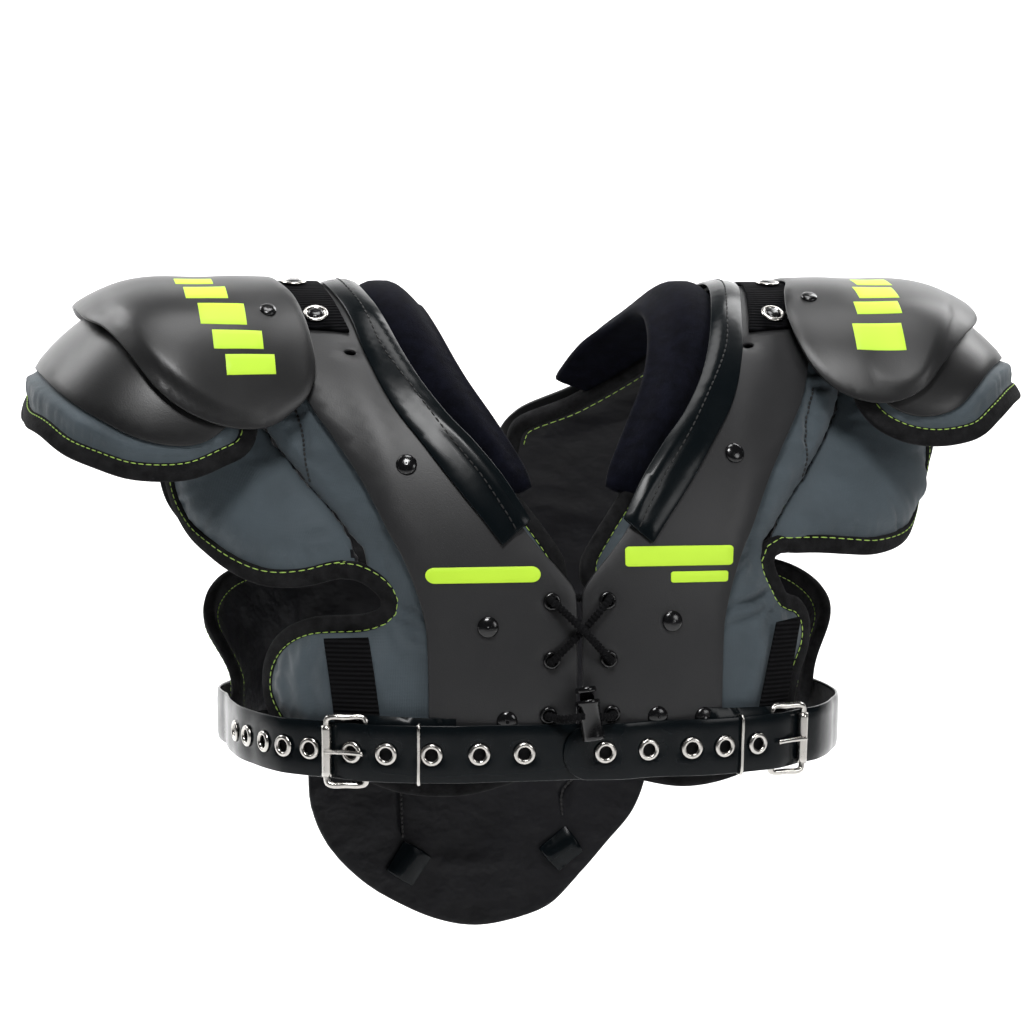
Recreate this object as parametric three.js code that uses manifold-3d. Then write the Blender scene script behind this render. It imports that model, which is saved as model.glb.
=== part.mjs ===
// Football shoulder pad, youth size. Units are millimetres, +Z is up and the wearer faces -Y.
// Origin: the point midway between the two seats on the wearer's shoulders.
import * as THREE from "three";
import { mergeVertices } from "three/addons/utils/BufferGeometryUtils.js";
import Module from "manifold-3d";

const wasm = await Module();
wasm.setup();
const { Manifold, Mesh: SolidMesh } = wasm;

const RAD = Math.PI / 180;
const LEFT = -1;
const RIGHT = 1;

// Layers, as distances from the inner face of the pads.
const PAD = 15.4;
const PLATE = [16.0, 19.0];
const STRIP = [19.35, 21.2];
const WEBBING = [19.35, 21.0];
const CAP_PAD = [0.0, 6.2];
const LOWER_CAP = [6.6, 8.9];
const UPPER_CAP = [9.3, 11.6];
const BELT_THICK = 2.0;

// Small maths.
const clamp = (value, low, high) => Math.min(Math.max(value, low), high);

function smooth(t) {
  const c = clamp(t, 0, 1);
  return c * c * (3 - 2 * c);
}

// Straight interpolation in a table of [position, value] rows.
function lookup(table, position) {
  const first = table[0];
  if (position <= first[0]) return first[1];
  for (let k = 1; k < table.length; k++) {
    const [x0, y0] = table[k - 1];
    const [x1, y1] = table[k];
    if (position <= x1) return y0 + ((y1 - y0) * (position - x0)) / (x1 - x0);
  }
  return table[table.length - 1][1];
}

// A smooth curve through rows of numbers, at row parameter t.
function throughRows(rows, t) {
  const last = rows.length - 1;
  const c = clamp(t, 0, last - 1e-9);
  const i = Math.floor(c);
  const f = c - i;
  const p1 = rows[i];
  const p2 = rows[i + 1];
  const p0 = i > 0 ? rows[i - 1] : p1.map((v, k) => 2 * v - p2[k]);
  const p3 = i + 2 <= last ? rows[i + 2] : p2.map((v, k) => 2 * v - p1[k]);
  return p1.map((v, k) => 0.5 * (2 * v + (p2[k] - p0[k]) * f
    + (2 * p0[k] - 5 * v + 4 * p2[k] - p3[k]) * f * f
    + (3 * v - p0[k] - 3 * p2[k] + p3[k]) * f * f * f));
}

// Tape length along the first two columns of a table, at each twentieth of a row.
function tapeTable(rows, zeroRow) {
  const table = [];
  let length = 0;
  let before = null;
  for (let k = 0; k <= (rows.length - 1) * 20; k++) {
    const point = throughRows(rows, k / 20);
    if (before) length += Math.hypot(point[0] - before[0], point[1] - before[1]);
    before = point;
    table.push([length, k / 20]);
  }
  const zero = table[zeroRow * 20][0];
  return table.map(([l, t]) => [l - zero, t]);
}

// The wearer's body: angle round the chest, tape length over the shoulder.
// Columns: half depth, height, half width.
const SHOULDER_TO_HEM = [
  [33, -10, 218],
  [62, -34, 196],
  [85, -66, 176],
  [99, -100, 163],
  [106, -135, 156],
  [108, -170, 153],
  [107, -205, 152],
  [104, -240, 152],
  [102, -275, 152],
  [100, -310, 150],
  [98, -345, 148],
];
const SHOULDER_TOP = [0, 0, 230];
const CHEST_SQUARENESS = 2.5;
const BODY_ROWS = [
  ...SHOULDER_TO_HEM.map(([depth, z, width]) => [-depth, z, width]).reverse(),
  SHOULDER_TOP,
  ...SHOULDER_TO_HEM,
];
const BODY_TAPE = tapeTable(BODY_ROWS, SHOULDER_TO_HEM.length);
const DROOP = { from: 120, rate: 0.0011, tape: 80 };

// Superellipse point at an angle, as fractions of the two half axes.
function squareRound(angle, power) {
  const sn = Math.sin(angle * RAD);
  const cs = Math.cos(angle * RAD);
  const q = (Math.abs(sn) ** power + Math.abs(cs) ** power) ** (-1 / power);
  return [sn * q, cs * q];
}

function bodyPoint(angle, tape) {
  const [depth, z, width] = throughRows(BODY_ROWS, lookup(BODY_TAPE, tape));
  const [across, along] = squareRound(angle, CHEST_SQUARENESS);
  const x = width * across;
  const outside = Math.max(0, Math.abs(x) - DROOP.from);
  const droop = DROOP.rate * outside * outside * Math.max(0, 1 - Math.abs(tape) / DROOP.tape);
  return new THREE.Vector3(x, depth * along, z - droop);
}

// Where the deltoid pad is sewn to the body pad: angle at each tape length.
const CREASE = [
  [0, 38], [30, 41], [60, 46], [103, 47.5], [150, 38.4], [166, 36], [200, 31], [400, 30],
];

// How far the deltoid pad stands off the body, for the arm under it.
const deltoidBulge = (reach) => (angle, tape) =>
  reach * smooth((Math.abs(angle) - lookup(CREASE, Math.abs(tape))) / 35)
  * smooth((Math.abs(tape) - 35) / 60);

// How far the free edge of a back wing stands off the body above the belt.
const wingFlare = (angle, tape) =>
  tape < 0 ? 0 : 13 * smooth((Math.abs(angle) - 50) / 35) * (1 - smooth((tape - 200) / 40));

// The shoulder dome under the caps: tape outwards, angle from the top.
// Columns: distance from the middle, top height, half depth, fall to the brim.
const DOME_ROWS = [
  [120, 12, 74, 92],
  [150, 11.1, 80, 92],
  [175, 9.6, 84, 92],
  [200, 6, 85, 88],
  [220, -1, 82, 82],
  [236, -12, 76, 74],
  [250, -27, 68, 62],
  [258, -42, 60, 50],
  [262, -58, 54, 44],
];
const DOME_TAPE = tapeTable(DOME_ROWS, 0);
const DOME_SQUARENESS = 2.3;

const domePoint = (side) => (tape, angle) => {
  const [x, top, depth, fall] = throughRows(DOME_ROWS, lookup(DOME_TAPE, tape));
  const [along, up] = squareRound(angle, DOME_SQUARENESS);
  return new THREE.Vector3(side * x, -depth * along, top - fall * (1 - up));
};

// The upper cap stands higher towards its outer end and over its boss.
function capLift(tape, angle) {
  const outer = 5 * smooth((tape - 55) / 32) * (1 - 0.6 * smooth((Math.abs(angle) - 20) / 30));
  const rim = Math.hypot((tape - 30) / 66, angle / 64);
  return outer + 2.2 * (1 - smooth((rim - 0.86) / 0.14)) * smooth((tape - 16) / 16);
}

// Charts: a curved face cut from flat patterns.
const range = (from, to, step) =>
  Array.from({ length: Math.round((to - from) / step) + 1 }, (_, k) => from + k * step);

// The grid cell that holds a value, and how far across it the value lies.
function cellOf(lines, value) {
  let k = 0;
  while (k < lines.length - 2 && value >= lines[k + 1]) k++;
  return [k, (value - lines[k]) / (lines[k + 1] - lines[k])];
}

function makeChart(point, uLines, vLines, uSize, vSize, uStep, vStep, flip = 1, lift = () => 0) {
  const normal = (u, v) => {
    const du = point(u + uStep, v).sub(point(u - uStep, v));
    const dv = point(u, v + vStep).sub(point(u, v - vStep));
    return du.cross(dv).normalize().multiplyScalar(flip);
  };
  const nodes = new Map();
  const node = (i, j) => {
    const key = i * 1000 + j;
    if (!nodes.has(key)) {
      const u = uLines[i];
      const v = vLines[j];
      nodes.set(key, { at: point(u, v), out: normal(u, v), lift: lift(u, v) });
    }
    return nodes.get(key);
  };
  // A point of the faceted face, pushed out by a distance.
  const place = (u, v, out) => {
    const [i, a] = cellOf(uLines, u);
    const [j, b] = cellOf(vLines, v);
    const corners = a >= b
      ? [[node(i, j), 1 - a], [node(i + 1, j), a - b], [node(i + 1, j + 1), b]]
      : [[node(i, j), 1 - b], [node(i, j + 1), b - a], [node(i + 1, j + 1), a]];
    const sum = new THREE.Vector3();
    for (const [corner, share] of corners) {
      sum.addScaledVector(corner.at, share);
      sum.addScaledVector(corner.out, share * (out + corner.lift));
    }
    return sum;
  };
  return { place, normal, uLines, vLines, uSize, vSize };
}

const TAPE_LINES = [
  ...range(-380, -110, 30), -92, -74, ...range(-56, 56, 16), 74, 92, ...range(110, 380, 30), 394,
];
const ANGLE_LINES = range(-180, 180, 7.5);
const DEGREE = 2.3;

const bodyChart = (lift) => makeChart(bodyPoint, ANGLE_LINES, TAPE_LINES, DEGREE, 1, 0.3, 1, 1, lift);
const body = bodyChart();
const wings = bodyChart(wingFlare);
const deltoids = { [LEFT]: bodyChart(deltoidBulge(24)), [RIGHT]: bodyChart(deltoidBulge(29)) };

const DOME_LINES = [...range(0, 160, 16), 175];
const BRIM_LINES = range(-110, 110, 11);
const dome = (side, lift) => makeChart(
  domePoint(side), DOME_LINES, BRIM_LINES, 1, 1.45, 0.5, 0.5, -side, lift);
const domes = { [LEFT]: dome(LEFT), [RIGHT]: dome(RIGHT) };
const liftedDomes = { [LEFT]: dome(LEFT, capLift), [RIGHT]: dome(RIGHT, capLift) };

// Solids.
function toManifold(geometry) {
  const bare = geometry.clone();
  bare.deleteAttribute("normal");
  bare.deleteAttribute("uv");
  const welded = mergeVertices(bare, 1e-5);
  if (!facesOut(welded)) flipFaces(welded);
  return new Manifold(new SolidMesh({
    numProp: 3,
    vertProperties: new Float32Array(welded.attributes.position.array),
    triVerts: new Uint32Array(welded.index.array),
  }));
}

function toGeometry(solid) {
  const mesh = solid.getMesh();
  const geometry = new THREE.BufferGeometry();
  const flat = new Float32Array((mesh.vertProperties.length / mesh.numProp) * 3);
  for (let k = 0; k < flat.length / 3; k++) {
    for (let c = 0; c < 3; c++) flat[3 * k + c] = mesh.vertProperties[mesh.numProp * k + c];
  }
  geometry.setAttribute("position", new THREE.BufferAttribute(flat, 3));
  geometry.setIndex(new THREE.BufferAttribute(new Uint32Array(mesh.triVerts), 1));
  return geometry;
}

// A bent sheet keeps its grid through the cut, because the pattern is cut from a shallow bowl.
const BOWL = 0.03;
const SKEW = 0.02;
const SLAB = 8;
const bowl = (i, j) => BOWL * (i * i + j * j) + SKEW * i * j;

function bowlAt(chart, u, v) {
  const [i, a] = cellOf(chart.uLines, u);
  const [j, b] = cellOf(chart.vLines, v);
  const ci = i - chart.uLines.length / 2;
  const cj = j - chart.vLines.length / 2;
  return a >= b
    ? bowl(ci, cj) * (1 - a) + bowl(ci + 1, cj) * (a - b) + bowl(ci + 1, cj + 1) * b
    : bowl(ci, cj) * (1 - b) + bowl(ci, cj + 1) * (b - a) + bowl(ci + 1, cj + 1) * a;
}

function slab(chart, box) {
  const inside = (lines, low, high) => {
    let from = lines.findIndex((value) => value > low) - 1;
    let to = lines.findIndex((value) => value >= high);
    if (from < 0) from = 0;
    if (to < 0) to = lines.length - 1;
    return [from, to];
  };
  const [i0, i1] = inside(chart.uLines, box.min.x, box.max.x);
  const [j0, j1] = inside(chart.vLines, box.min.y, box.max.y);
  const columns = j1 - j0 + 1;
  const count = (i1 - i0 + 1) * columns;
  const positions = [];
  for (const height of [0, SLAB]) {
    for (let i = i0; i <= i1; i++) {
      for (let j = j0; j <= j1; j++) {
        const z = bowl(i - chart.uLines.length / 2, j - chart.vLines.length / 2) + height;
        positions.push(chart.uLines[i], chart.vLines[j], z);
      }
    }
  }
  const index = [];
  const id = (i, j, top) => (i - i0) * columns + (j - j0) + top * count;
  for (let i = i0; i < i1; i++) {
    for (let j = j0; j < j1; j++) {
      const [a, b, c, d] = [[i, j], [i + 1, j], [i + 1, j + 1], [i, j + 1]];
      index.push(id(...a, 1), id(...b, 1), id(...c, 1), id(...a, 1), id(...c, 1), id(...d, 1));
      index.push(id(...a, 0), id(...c, 0), id(...b, 0), id(...a, 0), id(...d, 0), id(...c, 0));
    }
  }
  const wall = (p, q) => {
    index.push(id(...p, 0), id(...q, 0), id(...q, 1), id(...p, 0), id(...q, 1), id(...p, 1));
  };
  for (let i = i0; i < i1; i++) {
    wall([i, j0], [i + 1, j0]);
    wall([i + 1, j1], [i, j1]);
  }
  for (let j = j0; j < j1; j++) {
    wall([i1, j], [i1, j + 1]);
    wall([i0, j + 1], [i0, j]);
  }
  return new Manifold(new SolidMesh({
    numProp: 3,
    vertProperties: new Float32Array(positions),
    triVerts: new Uint32Array(index),
  }));
}

// An outline through table rows of [u, v].
const outline = (rows) => rows.map(([u, v]) => new THREE.Vector2(u, v));

const mirrored = (rows) => rows.map(([u, v]) => [-u, v]);
const forSide = (side, rows) => (side === LEFT ? rows : mirrored(rows));

function prism(points, holes) {
  const turned = THREE.ShapeUtils.isClockWise(points) ? [...points].reverse() : points;
  const shape = new THREE.Shape(turned);
  for (const hole of holes) shape.holes.push(new THREE.Path(hole));
  const geometry = new THREE.ExtrudeGeometry(shape, { depth: 400, bevelEnabled: false });
  geometry.translate(0, 0, -150);
  return toManifold(geometry);
}

function edgeDistance(chart, points, u, v) {
  let best = Infinity;
  for (let k = 0; k < points.length; k++) {
    const p = points[k];
    const q = points[(k + 1) % points.length];
    const ax = (q.x - p.x) * chart.uSize;
    const ay = (q.y - p.y) * chart.vSize;
    const bx = (u - p.x) * chart.uSize;
    const by = (v - p.y) * chart.vSize;
    const t = clamp((ax * bx + ay * by) / (ax * ax + ay * ay), 0, 1);
    best = Math.min(best, Math.hypot(bx - ax * t, by - ay * t));
  }
  return best;
}

// A sheet cut to an outline and bent on a chart. inner and outer give the distance of each face.
function sheet(chart, rows, { inner, outer, holes = [], edge = 1, roll = 1 }) {
  const points = outline(rows);
  const box = new THREE.Box2().setFromPoints(points);
  const cut = slab(chart, box).intersect(prism(points, holes));
  const geometry = toGeometry(cut);
  const at = geometry.attributes.position;
  const levels = [inner, outer].map((face) => (typeof face === "function" ? face : () => face));
  for (let k = 0; k < at.count; k++) {
    const [u, v, w] = [at.getX(k), at.getY(k), at.getZ(k)];
    const top = w - bowlAt(chart, u, v) > SLAB / 2;
    const low = levels[0](u, v);
    let out = low;
    if (top) {
      const near = edge < 1 ? edgeDistance(chart, points, u, v) : roll;
      const rise = edge + (1 - edge) * Math.sin((clamp(near / roll, 0, 1) * Math.PI) / 2);
      out = low + (levels[1](u, v) - low) * rise;
    }
    const p = chart.place(u, v, out);
    at.setXYZ(k, p.x, p.y, p.z);
  }
  if (!facesOut(geometry)) flipFaces(geometry);
  return geometry;
}

// Signed volume tells whether the faces look outwards.
function facesOut(geometry) {
  const at = geometry.attributes.position;
  const index = geometry.index.array;
  const [a, b, c] = [new THREE.Vector3(), new THREE.Vector3(), new THREE.Vector3()];
  let volume = 0;
  for (let k = 0; k < index.length; k += 3) {
    a.fromBufferAttribute(at, index[k]);
    b.fromBufferAttribute(at, index[k + 1]);
    c.fromBufferAttribute(at, index[k + 2]);
    volume += a.dot(b.cross(c));
  }
  return volume > 0;
}

function flipFaces(geometry) {
  const index = geometry.index.array;
  for (let k = 0; k < index.length; k += 3) {
    [index[k + 1], index[k + 2]] = [index[k + 2], index[k + 1]];
  }
}

function hole(u, v, radius, chart, sides = 6) {
  return range(0, sides - 1, 1).map((k) => {
    const a = (-2 * Math.PI * k) / sides;
    return new THREE.Vector2(
      u + (radius * Math.cos(a)) / chart.uSize, v + (radius * Math.sin(a)) / chart.vSize);
  });
}

// Small round parts.
// A turned part set on a chart; profile rows are [radius, height].
function turned(chart, u, v, out, profile, sides = 10) {
  const level = typeof out === "function" ? out : () => out;
  const [du, dv] = [4 / chart.uSize, 4];
  const points = profile.map(([r, h]) => new THREE.Vector2(r, h));
  const geometry = new THREE.LatheGeometry(points, sides);
  geometry.rotateX(Math.PI / 2);
  const along = chart.place(u + du, v, level(u + du)).sub(chart.place(u - du, v, level(u - du)));
  const over = chart.place(u, v + dv, level(u)).sub(chart.place(u, v - dv, level(u)));
  const up = along.cross(over).normalize();
  const turn = new THREE.Quaternion().setFromUnitVectors(new THREE.Vector3(0, 0, 1), up);
  geometry.applyQuaternion(turn);
  const seat = chart.place(u, v, level(u));
  geometry.translate(seat.x, seat.y, seat.z);
  return toGeometry(toManifold(geometry));
}

function wire(points, radius, { closed = false, steps = 40, sides = 8 } = {}) {
  const curve = new THREE.CatmullRomCurve3(points, closed, "centripetal");
  const tube = new THREE.TubeGeometry(curve, steps, radius, sides, closed);
  if (closed) return toGeometry(toManifold(tube));
  return toGeometry(toManifold(capped(tube, steps, sides, curve)));
}

function capped(tube, steps, sides, curve) {
  const at = Array.from(tube.attributes.position.array);
  const index = Array.from(tube.index.array);
  const ring = sides + 1;
  for (const [row, t, reverse] of [[0, 0, true], [steps, 1, false]]) {
    const centre = curve.getPointAt(t);
    const c = at.length / 3;
    at.push(centre.x, centre.y, centre.z);
    for (let k = 0; k < sides; k++) {
      const [p, q] = [row * ring + k, row * ring + k + 1];
      index.push(...(reverse ? [c, p, q] : [c, q, p]));
    }
  }
  const geometry = new THREE.BufferGeometry();
  geometry.setAttribute("position", new THREE.Float32BufferAttribute(at, 3));
  geometry.setIndex(index);
  const welded = mergeVertices(geometry, 1e-4);
  if (!facesOut(welded)) flipFaces(welded);
  return welded;
}

// Outlines on the body chart: angle, tape (front is negative).
const PLATE_FRONT = [
  [-0.9, -262], [-0.9, -181], [-2, -173], [-5.8, -163], [-8.8, -152], [-12, -134],
  [-15.9, -116], [-19.2, -101], [-22.2, -78], [-23.6, -40], [-24.2, 0],
];
const PLATE_BACK = [
  [-23.4, 35], [-20.5, 62], [-13, 88], [-4, 104], [-1.2, 116], [-1.2, 258], [-26, 258],
  [-27, 200], [-29, 165], [-33.4, 130], [-37, 95], [-38, 60], [-37.5, 30],
];
const PLATE_OUTER = [
  [-37, 0], [-37.5, -30], [-38, -60], [-37.8, -90], [-36.5, -104], [-33.3, -130],
  [-30.6, -154], [-28.7, -167], [-26.8, -186], [-25.9, -200], [-25.8, -246], [-25.8, -262],
];

const PAD_NECK = [
  [-9, -268], [-8, -240], [-8, -190], [-3.2, -168], [-9.6, -136], [-13.4, -118], [-17, -102],
  [-19.6, -85], [-21.7, -60], [-22.4, -35], [-22.6, 0], [-21.8, 35], [-19, 62], [-11.5, 88],
  [-2.5, 104], [-1.4, 118], [-1.4, 268],
];
const BACK_WING = [
  [-30, 273], [-55, 270], [-80, 264], [-86, 250], [-87.5, 225], [-88, 200], [-84, 186],
  [-76, 179], [-62, 180], [-46, 185], [-38, 186], [-34.8, 178], [-36.2, 166],
];
const SHOULDER_EDGE = [
  [-38.6, 150], [-47.2, 103], [-45.8, 60], [-40.8, 30], [-37.8, 0], [-40.8, -30],
  [-45.8, -60], [-47.2, -103], [-38.6, -150],
];
// Each front wing as the photo shows it; the viewer's left one is looser.
const FRONT_WING = {
  [LEFT]: [
    [-36.2, -166], [-36.4, -174], [-34.4, -184], [-34.2, -190], [-37.5, -194], [-48.8, -197],
    [-55.7, -204], [-60.3, -213], [-62.9, -223], [-63.3, -237], [-60, -250], [-52, -264],
    [-40, -271], [-31, -275], [-20, -276],
  ],
  [RIGHT]: [
    [-36.2, -166], [-38.6, -173], [-41.3, -184], [-42.4, -188], [-46, -191], [-49.1, -198],
    [-50.4, -206], [-50, -216], [-47.5, -228], [-46, -240], [-45, -255], [-40, -268],
    [-31, -274], [-21, -276],
  ],
};

const DELTOID_LOBE = {
  [LEFT]: [
    [-37.6, -160], [-37, -170], [-38.4, -175], [-41.5, -176], [-46, -179], [-51.2, -180],
    [-55.4, -178], [-60.2, -172], [-65, -163], [-71.3, -147], [-74, -131], [-73.5, -112],
    [-66, -80],
  ],
  [RIGHT]: [
    [-37.6, -160], [-37.4, -168], [-40.8, -167], [-47.4, -167], [-53.2, -167.5], [-58, -166],
    [-65, -158], [-71, -146], [-75.5, -130], [-76.5, -114], [-74, -98], [-66, -75],
  ],
};
const DELTOID_TOP = [
  [-56, -40], [-50, -12], [-50, 12], [-56, 40], [-66, 80], [-72, 110], [-73, 132], [-69, 148],
  [-62, 164], [-54, 174], [-45, 176], [-38.6, 172], [-37.6, 162],
];
const DELTOID_SEAM = [
  [-38.9, 150], [-47.7, 103], [-46.3, 60], [-41.4, 30], [-38.4, 0], [-41.4, -30],
  [-46.3, -60], [-47.7, -103], [-38.9, -150],
];

const STRIP_OUTER = [
  [-12.9, -162], [-18.7, -137], [-22.2, -119], [-25.8, -95], [-27.1, -66], [-26.8, -44],
  [-27.2, 0], [-26.6, 35], [-23.6, 64], [-16, 93], [-8, 110],
];
const STRIP_INNER = [
  [-4.2, 101], [-12, 84], [-19.2, 60], [-22.4, 35], [-23.2, 0], [-22.6, -40],
  [-21.4, -76], [-18.5, -100], [-15.2, -115], [-11.3, -133], [-8.1, -151],
];
const ROLL_OUTLINE = [
  [-9.8, -134], [-12.6, -118], [-16.2, -102], [-18.8, -85], [-21, -60], [-21.7, -35],
  [-21.9, 0], [-21.1, 35], [-18.2, 60], [-12, 80], [-9, 72], [-11, 50], [-13.8, 30],
  [-14.8, 0], [-15, -40], [-13.9, -72], [-11.2, -98], [-8, -126], [-8.4, -133],
];
const FLAP_OUTLINE = [
  [-40, 222], [-43, 262], [-43, 300], [-42.5, 316], [-38.9, 338], [-30.5, 362], [-22, 377],
  [-12.9, 388], [-5, 392], [4, 389], [11.4, 382], [17.3, 367], [23.8, 347], [29.5, 328],
  [33, 300], [34, 262], [33, 222],
];
const FLAP_TABS = {
  [LEFT]: [[-20.6, 343], [-14.9, 353], [-19.1, 368], [-24.7, 358]],
  [RIGHT]: [[15, 338], [18.6, 352], [13.7, 363], [9.5, 350]],
};
const SIDE_STRAPS = {
  [LEFT]: [[-43.4, -205], [-35.7, -204], [-33, -272], [-40.8, -272]],
  [RIGHT]: [[-42.2, -199], [-36.8, -201], [-31.4, -272], [-37.6, -272]],
};
const WEBBING_OUTLINE = [
  [-28, -58], [-28, 58], [-37.4, 58], [-37.4, -58],
];
const BACK_STRAP_TAPES = [150, 205];
const BACK_STRAP = { reach: 11, half: 12.5 };

// Outlines on the dome chart: tape outwards, angle from the top (front is positive).
const UPPER_CAP_FRONT = {
  [LEFT]: [
    [111, 14], [108, 27], [102, 35], [83, 59], [72, 66], [55, 71], [40, 73], [28, 72.5],
    [18, 69], [9, 64], [5, 56], [6, 45], [10, 30], [16, 14],
  ],
  [RIGHT]: [
    [108, 16], [104, 32], [90, 45], [79, 54], [68, 62], [54, 66], [40, 66.5], [27, 64],
    [16, 58], [9, 49], [6, 38], [9, 25], [15, 12],
  ],
};
const LOWER_CAP_FRONT = {
  [LEFT]: [
    [143, 8], [141, 24], [134, 42], [124, 54], [107, 66], [95, 72], [82, 75.5], [69, 76.5],
    [58, 75], [46, 69], [37, 55],
  ],
  [RIGHT]: [
    [136, 8], [133, 24], [122, 38], [110, 48], [97, 59], [84, 67], [72, 69.5], [60, 69],
    [48, 65], [38, 52],
  ],
};
const CAP_PAD_FRONT = {
  [LEFT]: [
    [164, 10], [165, 26], [161, 40], [148, 57], [134, 70], [116, 79], [99, 85], [82, 87],
    [67, 86.5], [51, 83], [38, 79], [33, 70], [35, 50],
  ],
  [RIGHT]: [
    [158, 10], [154, 28], [144, 42], [129, 55], [114, 66], [101, 74], [87, 77.5], [73, 78.5],
    [56, 76.5], [43, 72], [35, 64], [35, 48],
  ],
};

const bothWays = (rows) => [
  ...rows, ...rows.map(([u, v]) => [u, -v]).reverse(),
];

// The pieces.
const group = new THREE.Group();
group.name = "football_shoulder_pad";

const LOOKS = {
  plate: { color: 0x3b3c3e, roughness: 0.45 },
  cloth: { color: 0x48535a, roughness: 0.9 },
  satin: { color: 0x141416, roughness: 0.6 },
  knit: { color: 0x15171c, roughness: 1.0 },
  patent: { color: 0x0c0f12, roughness: 0.15 },
  web: { color: 0x161618, roughness: 0.9 },
  metal: { color: 0xd0d2d4, roughness: 0.2, metalness: 1.0 },
};

function add(name, geometry, look) {
  const material = new THREE.MeshStandardMaterial(LOOKS[look]);
  const mesh = new THREE.Mesh(geometry, material);
  mesh.name = name;
  group.add(mesh);
}

const SIDES = [[LEFT, "left"], [RIGHT, "right"]];

// Pads get thinner towards the free ends of the wings.
const padThickness = (angle) => PAD - 8.4 * smooth((Math.abs(angle) - 45) / 28);

const LACE_HOLES = [[5.0, -188], [5.2, -215], [5.8, -241]];
const LACE_HOLE_RADIUS = 2.7;

function platesAndPads(side, word) {
  const plate = [...PLATE_FRONT, ...PLATE_BACK, ...PLATE_OUTER];
  const holes = LACE_HOLES.map(([u, v]) => hole(side * u, v, LACE_HOLE_RADIUS, body));
  add(`arch_plate_${word}`, sheet(body, forSide(side, plate), {
    inner: PLATE[0], outer: PLATE[1], holes,
  }), "plate");

  const pad = [...PAD_NECK, ...BACK_WING, ...SHOULDER_EDGE, ...FRONT_WING[side]];
  add(`body_pad_${word}`, sheet(wings, forSide(side, pad), {
    inner: 0, outer: padThickness, edge: 0.45, roll: 9,
  }), "cloth");

  const lobe = [...DELTOID_LOBE[side], ...DELTOID_TOP, ...DELTOID_SEAM];
  add(`deltoid_pad_${word}`, sheet(deltoids[side], forSide(side, lobe), {
    inner: 0, outer: (u, v) => 9 + 4 * smooth((Math.abs(v) - 40) / 40), edge: 0.5, roll: 10,
  }), "cloth");
}

function neckline(side, word) {
  add(`neck_strip_${word}`, sheet(body, forSide(side, [...STRIP_OUTER, ...STRIP_INNER]), {
    inner: STRIP[0], outer: STRIP[1],
  }), "patent");
  add(`neck_roll_${word}`, sheet(body, forSide(side, ROLL_OUTLINE), {
    inner: 2, outer: (u, v) => 18 + 4 * (1 - smooth((Math.abs(v) - 30) / 50)), edge: 0.4, roll: 9,
  }), "knit");
}

function shoulderWebbing(side, word) {
  add(`shoulder_webbing_${word}`, sheet(body, forSide(side, WEBBING_OUTLINE), {
    inner: WEBBING[0], outer: WEBBING[1],
  }), "web");
  const spots = [["front", -47, -33.2], ["top", -9, -31.4], ["back", 47, -33.2]];
  for (const [place, tape, angle] of spots) {
    add(`webbing_washer_${place}_${word}`, turned(
      body, side * Math.abs(angle), tape, WEBBING[1] + 0.45, WASHER), "metal");
  }
}

const WASHER = [[0, 0], [6, 0], [6, 0.5], [4.4, 1.2], [3.4, 0.9], [0, 1.4]];
const RIVET = [[0, 0], [5.2, 0], [5, 0.9], [3.8, 2.2], [2, 2.9], [0, 3.1]];
const EYELET = [[3, -0.8], [3.2, -0.8], [3.2, 0], [5.5, 0], [5.2, 0.8], [3.9, 1.2], [3, 0.5],
  [3, -0.8]];

function caps(side, word) {
  add(`cap_pad_${word}`, sheet(domes[side], bothWays(CAP_PAD_FRONT[side]), {
    inner: CAP_PAD[0], outer: CAP_PAD[1], edge: 0.7, roll: 6,
  }), "cloth");
  add(`lower_cap_${word}`, sheet(domes[side], bothWays(LOWER_CAP_FRONT[side]), {
    inner: LOWER_CAP[0], outer: LOWER_CAP[1],
  }), "plate");
  add(`upper_cap_${word}`, sheet(liftedDomes[side], bothWays(UPPER_CAP_FRONT[side]), {
    inner: UPPER_CAP[0], outer: UPPER_CAP[1],
  }), "plate");
}

// Belts: distance of the inner face along the angle round the chest.
const BELT_TAPE = { middle: -258.3, half: 12.7 };
const BELTS = {
  [LEFT]: {
    from: -150, to: 5.5,
    inner: [[-150, 19.4], [-126, 19.4], [-120, 16.5], [-108, 13], [-96, 7.6], [-78, 8],
      [-63, 11.4], [-52, 17.8], [-42, 17.8], [-36, 21.6], [-21, 21.6], [-15, 19.4], [6, 19.4]],
    eyelets: [-73.5, -65.4, -57.6, -51.6, -32.6, -25.4, -17.7, -10.1],
    roller: -42.6, pivot: -36.2, keeper: -27.4,
  },
  [RIGHT]: {
    from: 150, to: -2.6,
    inner: [[-2.6, 21.8], [8, 21.8], [12, 19.4], [16, 19.4], [22, 21.6], [36.4, 21.6],
      [42, 17.8], [47, 17.8], [58, 11.4], [78, 8], [96, 7.6], [108, 13], [120, 16.5],
      [126, 19.4], [150, 19.4]],
    eyelets: [4.3, 12.3, 19.8, 25.6, 31.8],
    roller: 41.6, pivot: 35.6, keeper: 28.6,
  },
};

function beltOutline({ from, to }) {
  const [low, high] = [BELT_TAPE.middle - BELT_TAPE.half, BELT_TAPE.middle + BELT_TAPE.half];
  const turn = to > from ? 1 : -1;
  return [
    [from, low], [to - 3 * turn, low], [to, low + 4], [to, high - 4],
    [to - 3 * turn, high], [from, high],
  ];
}

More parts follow.
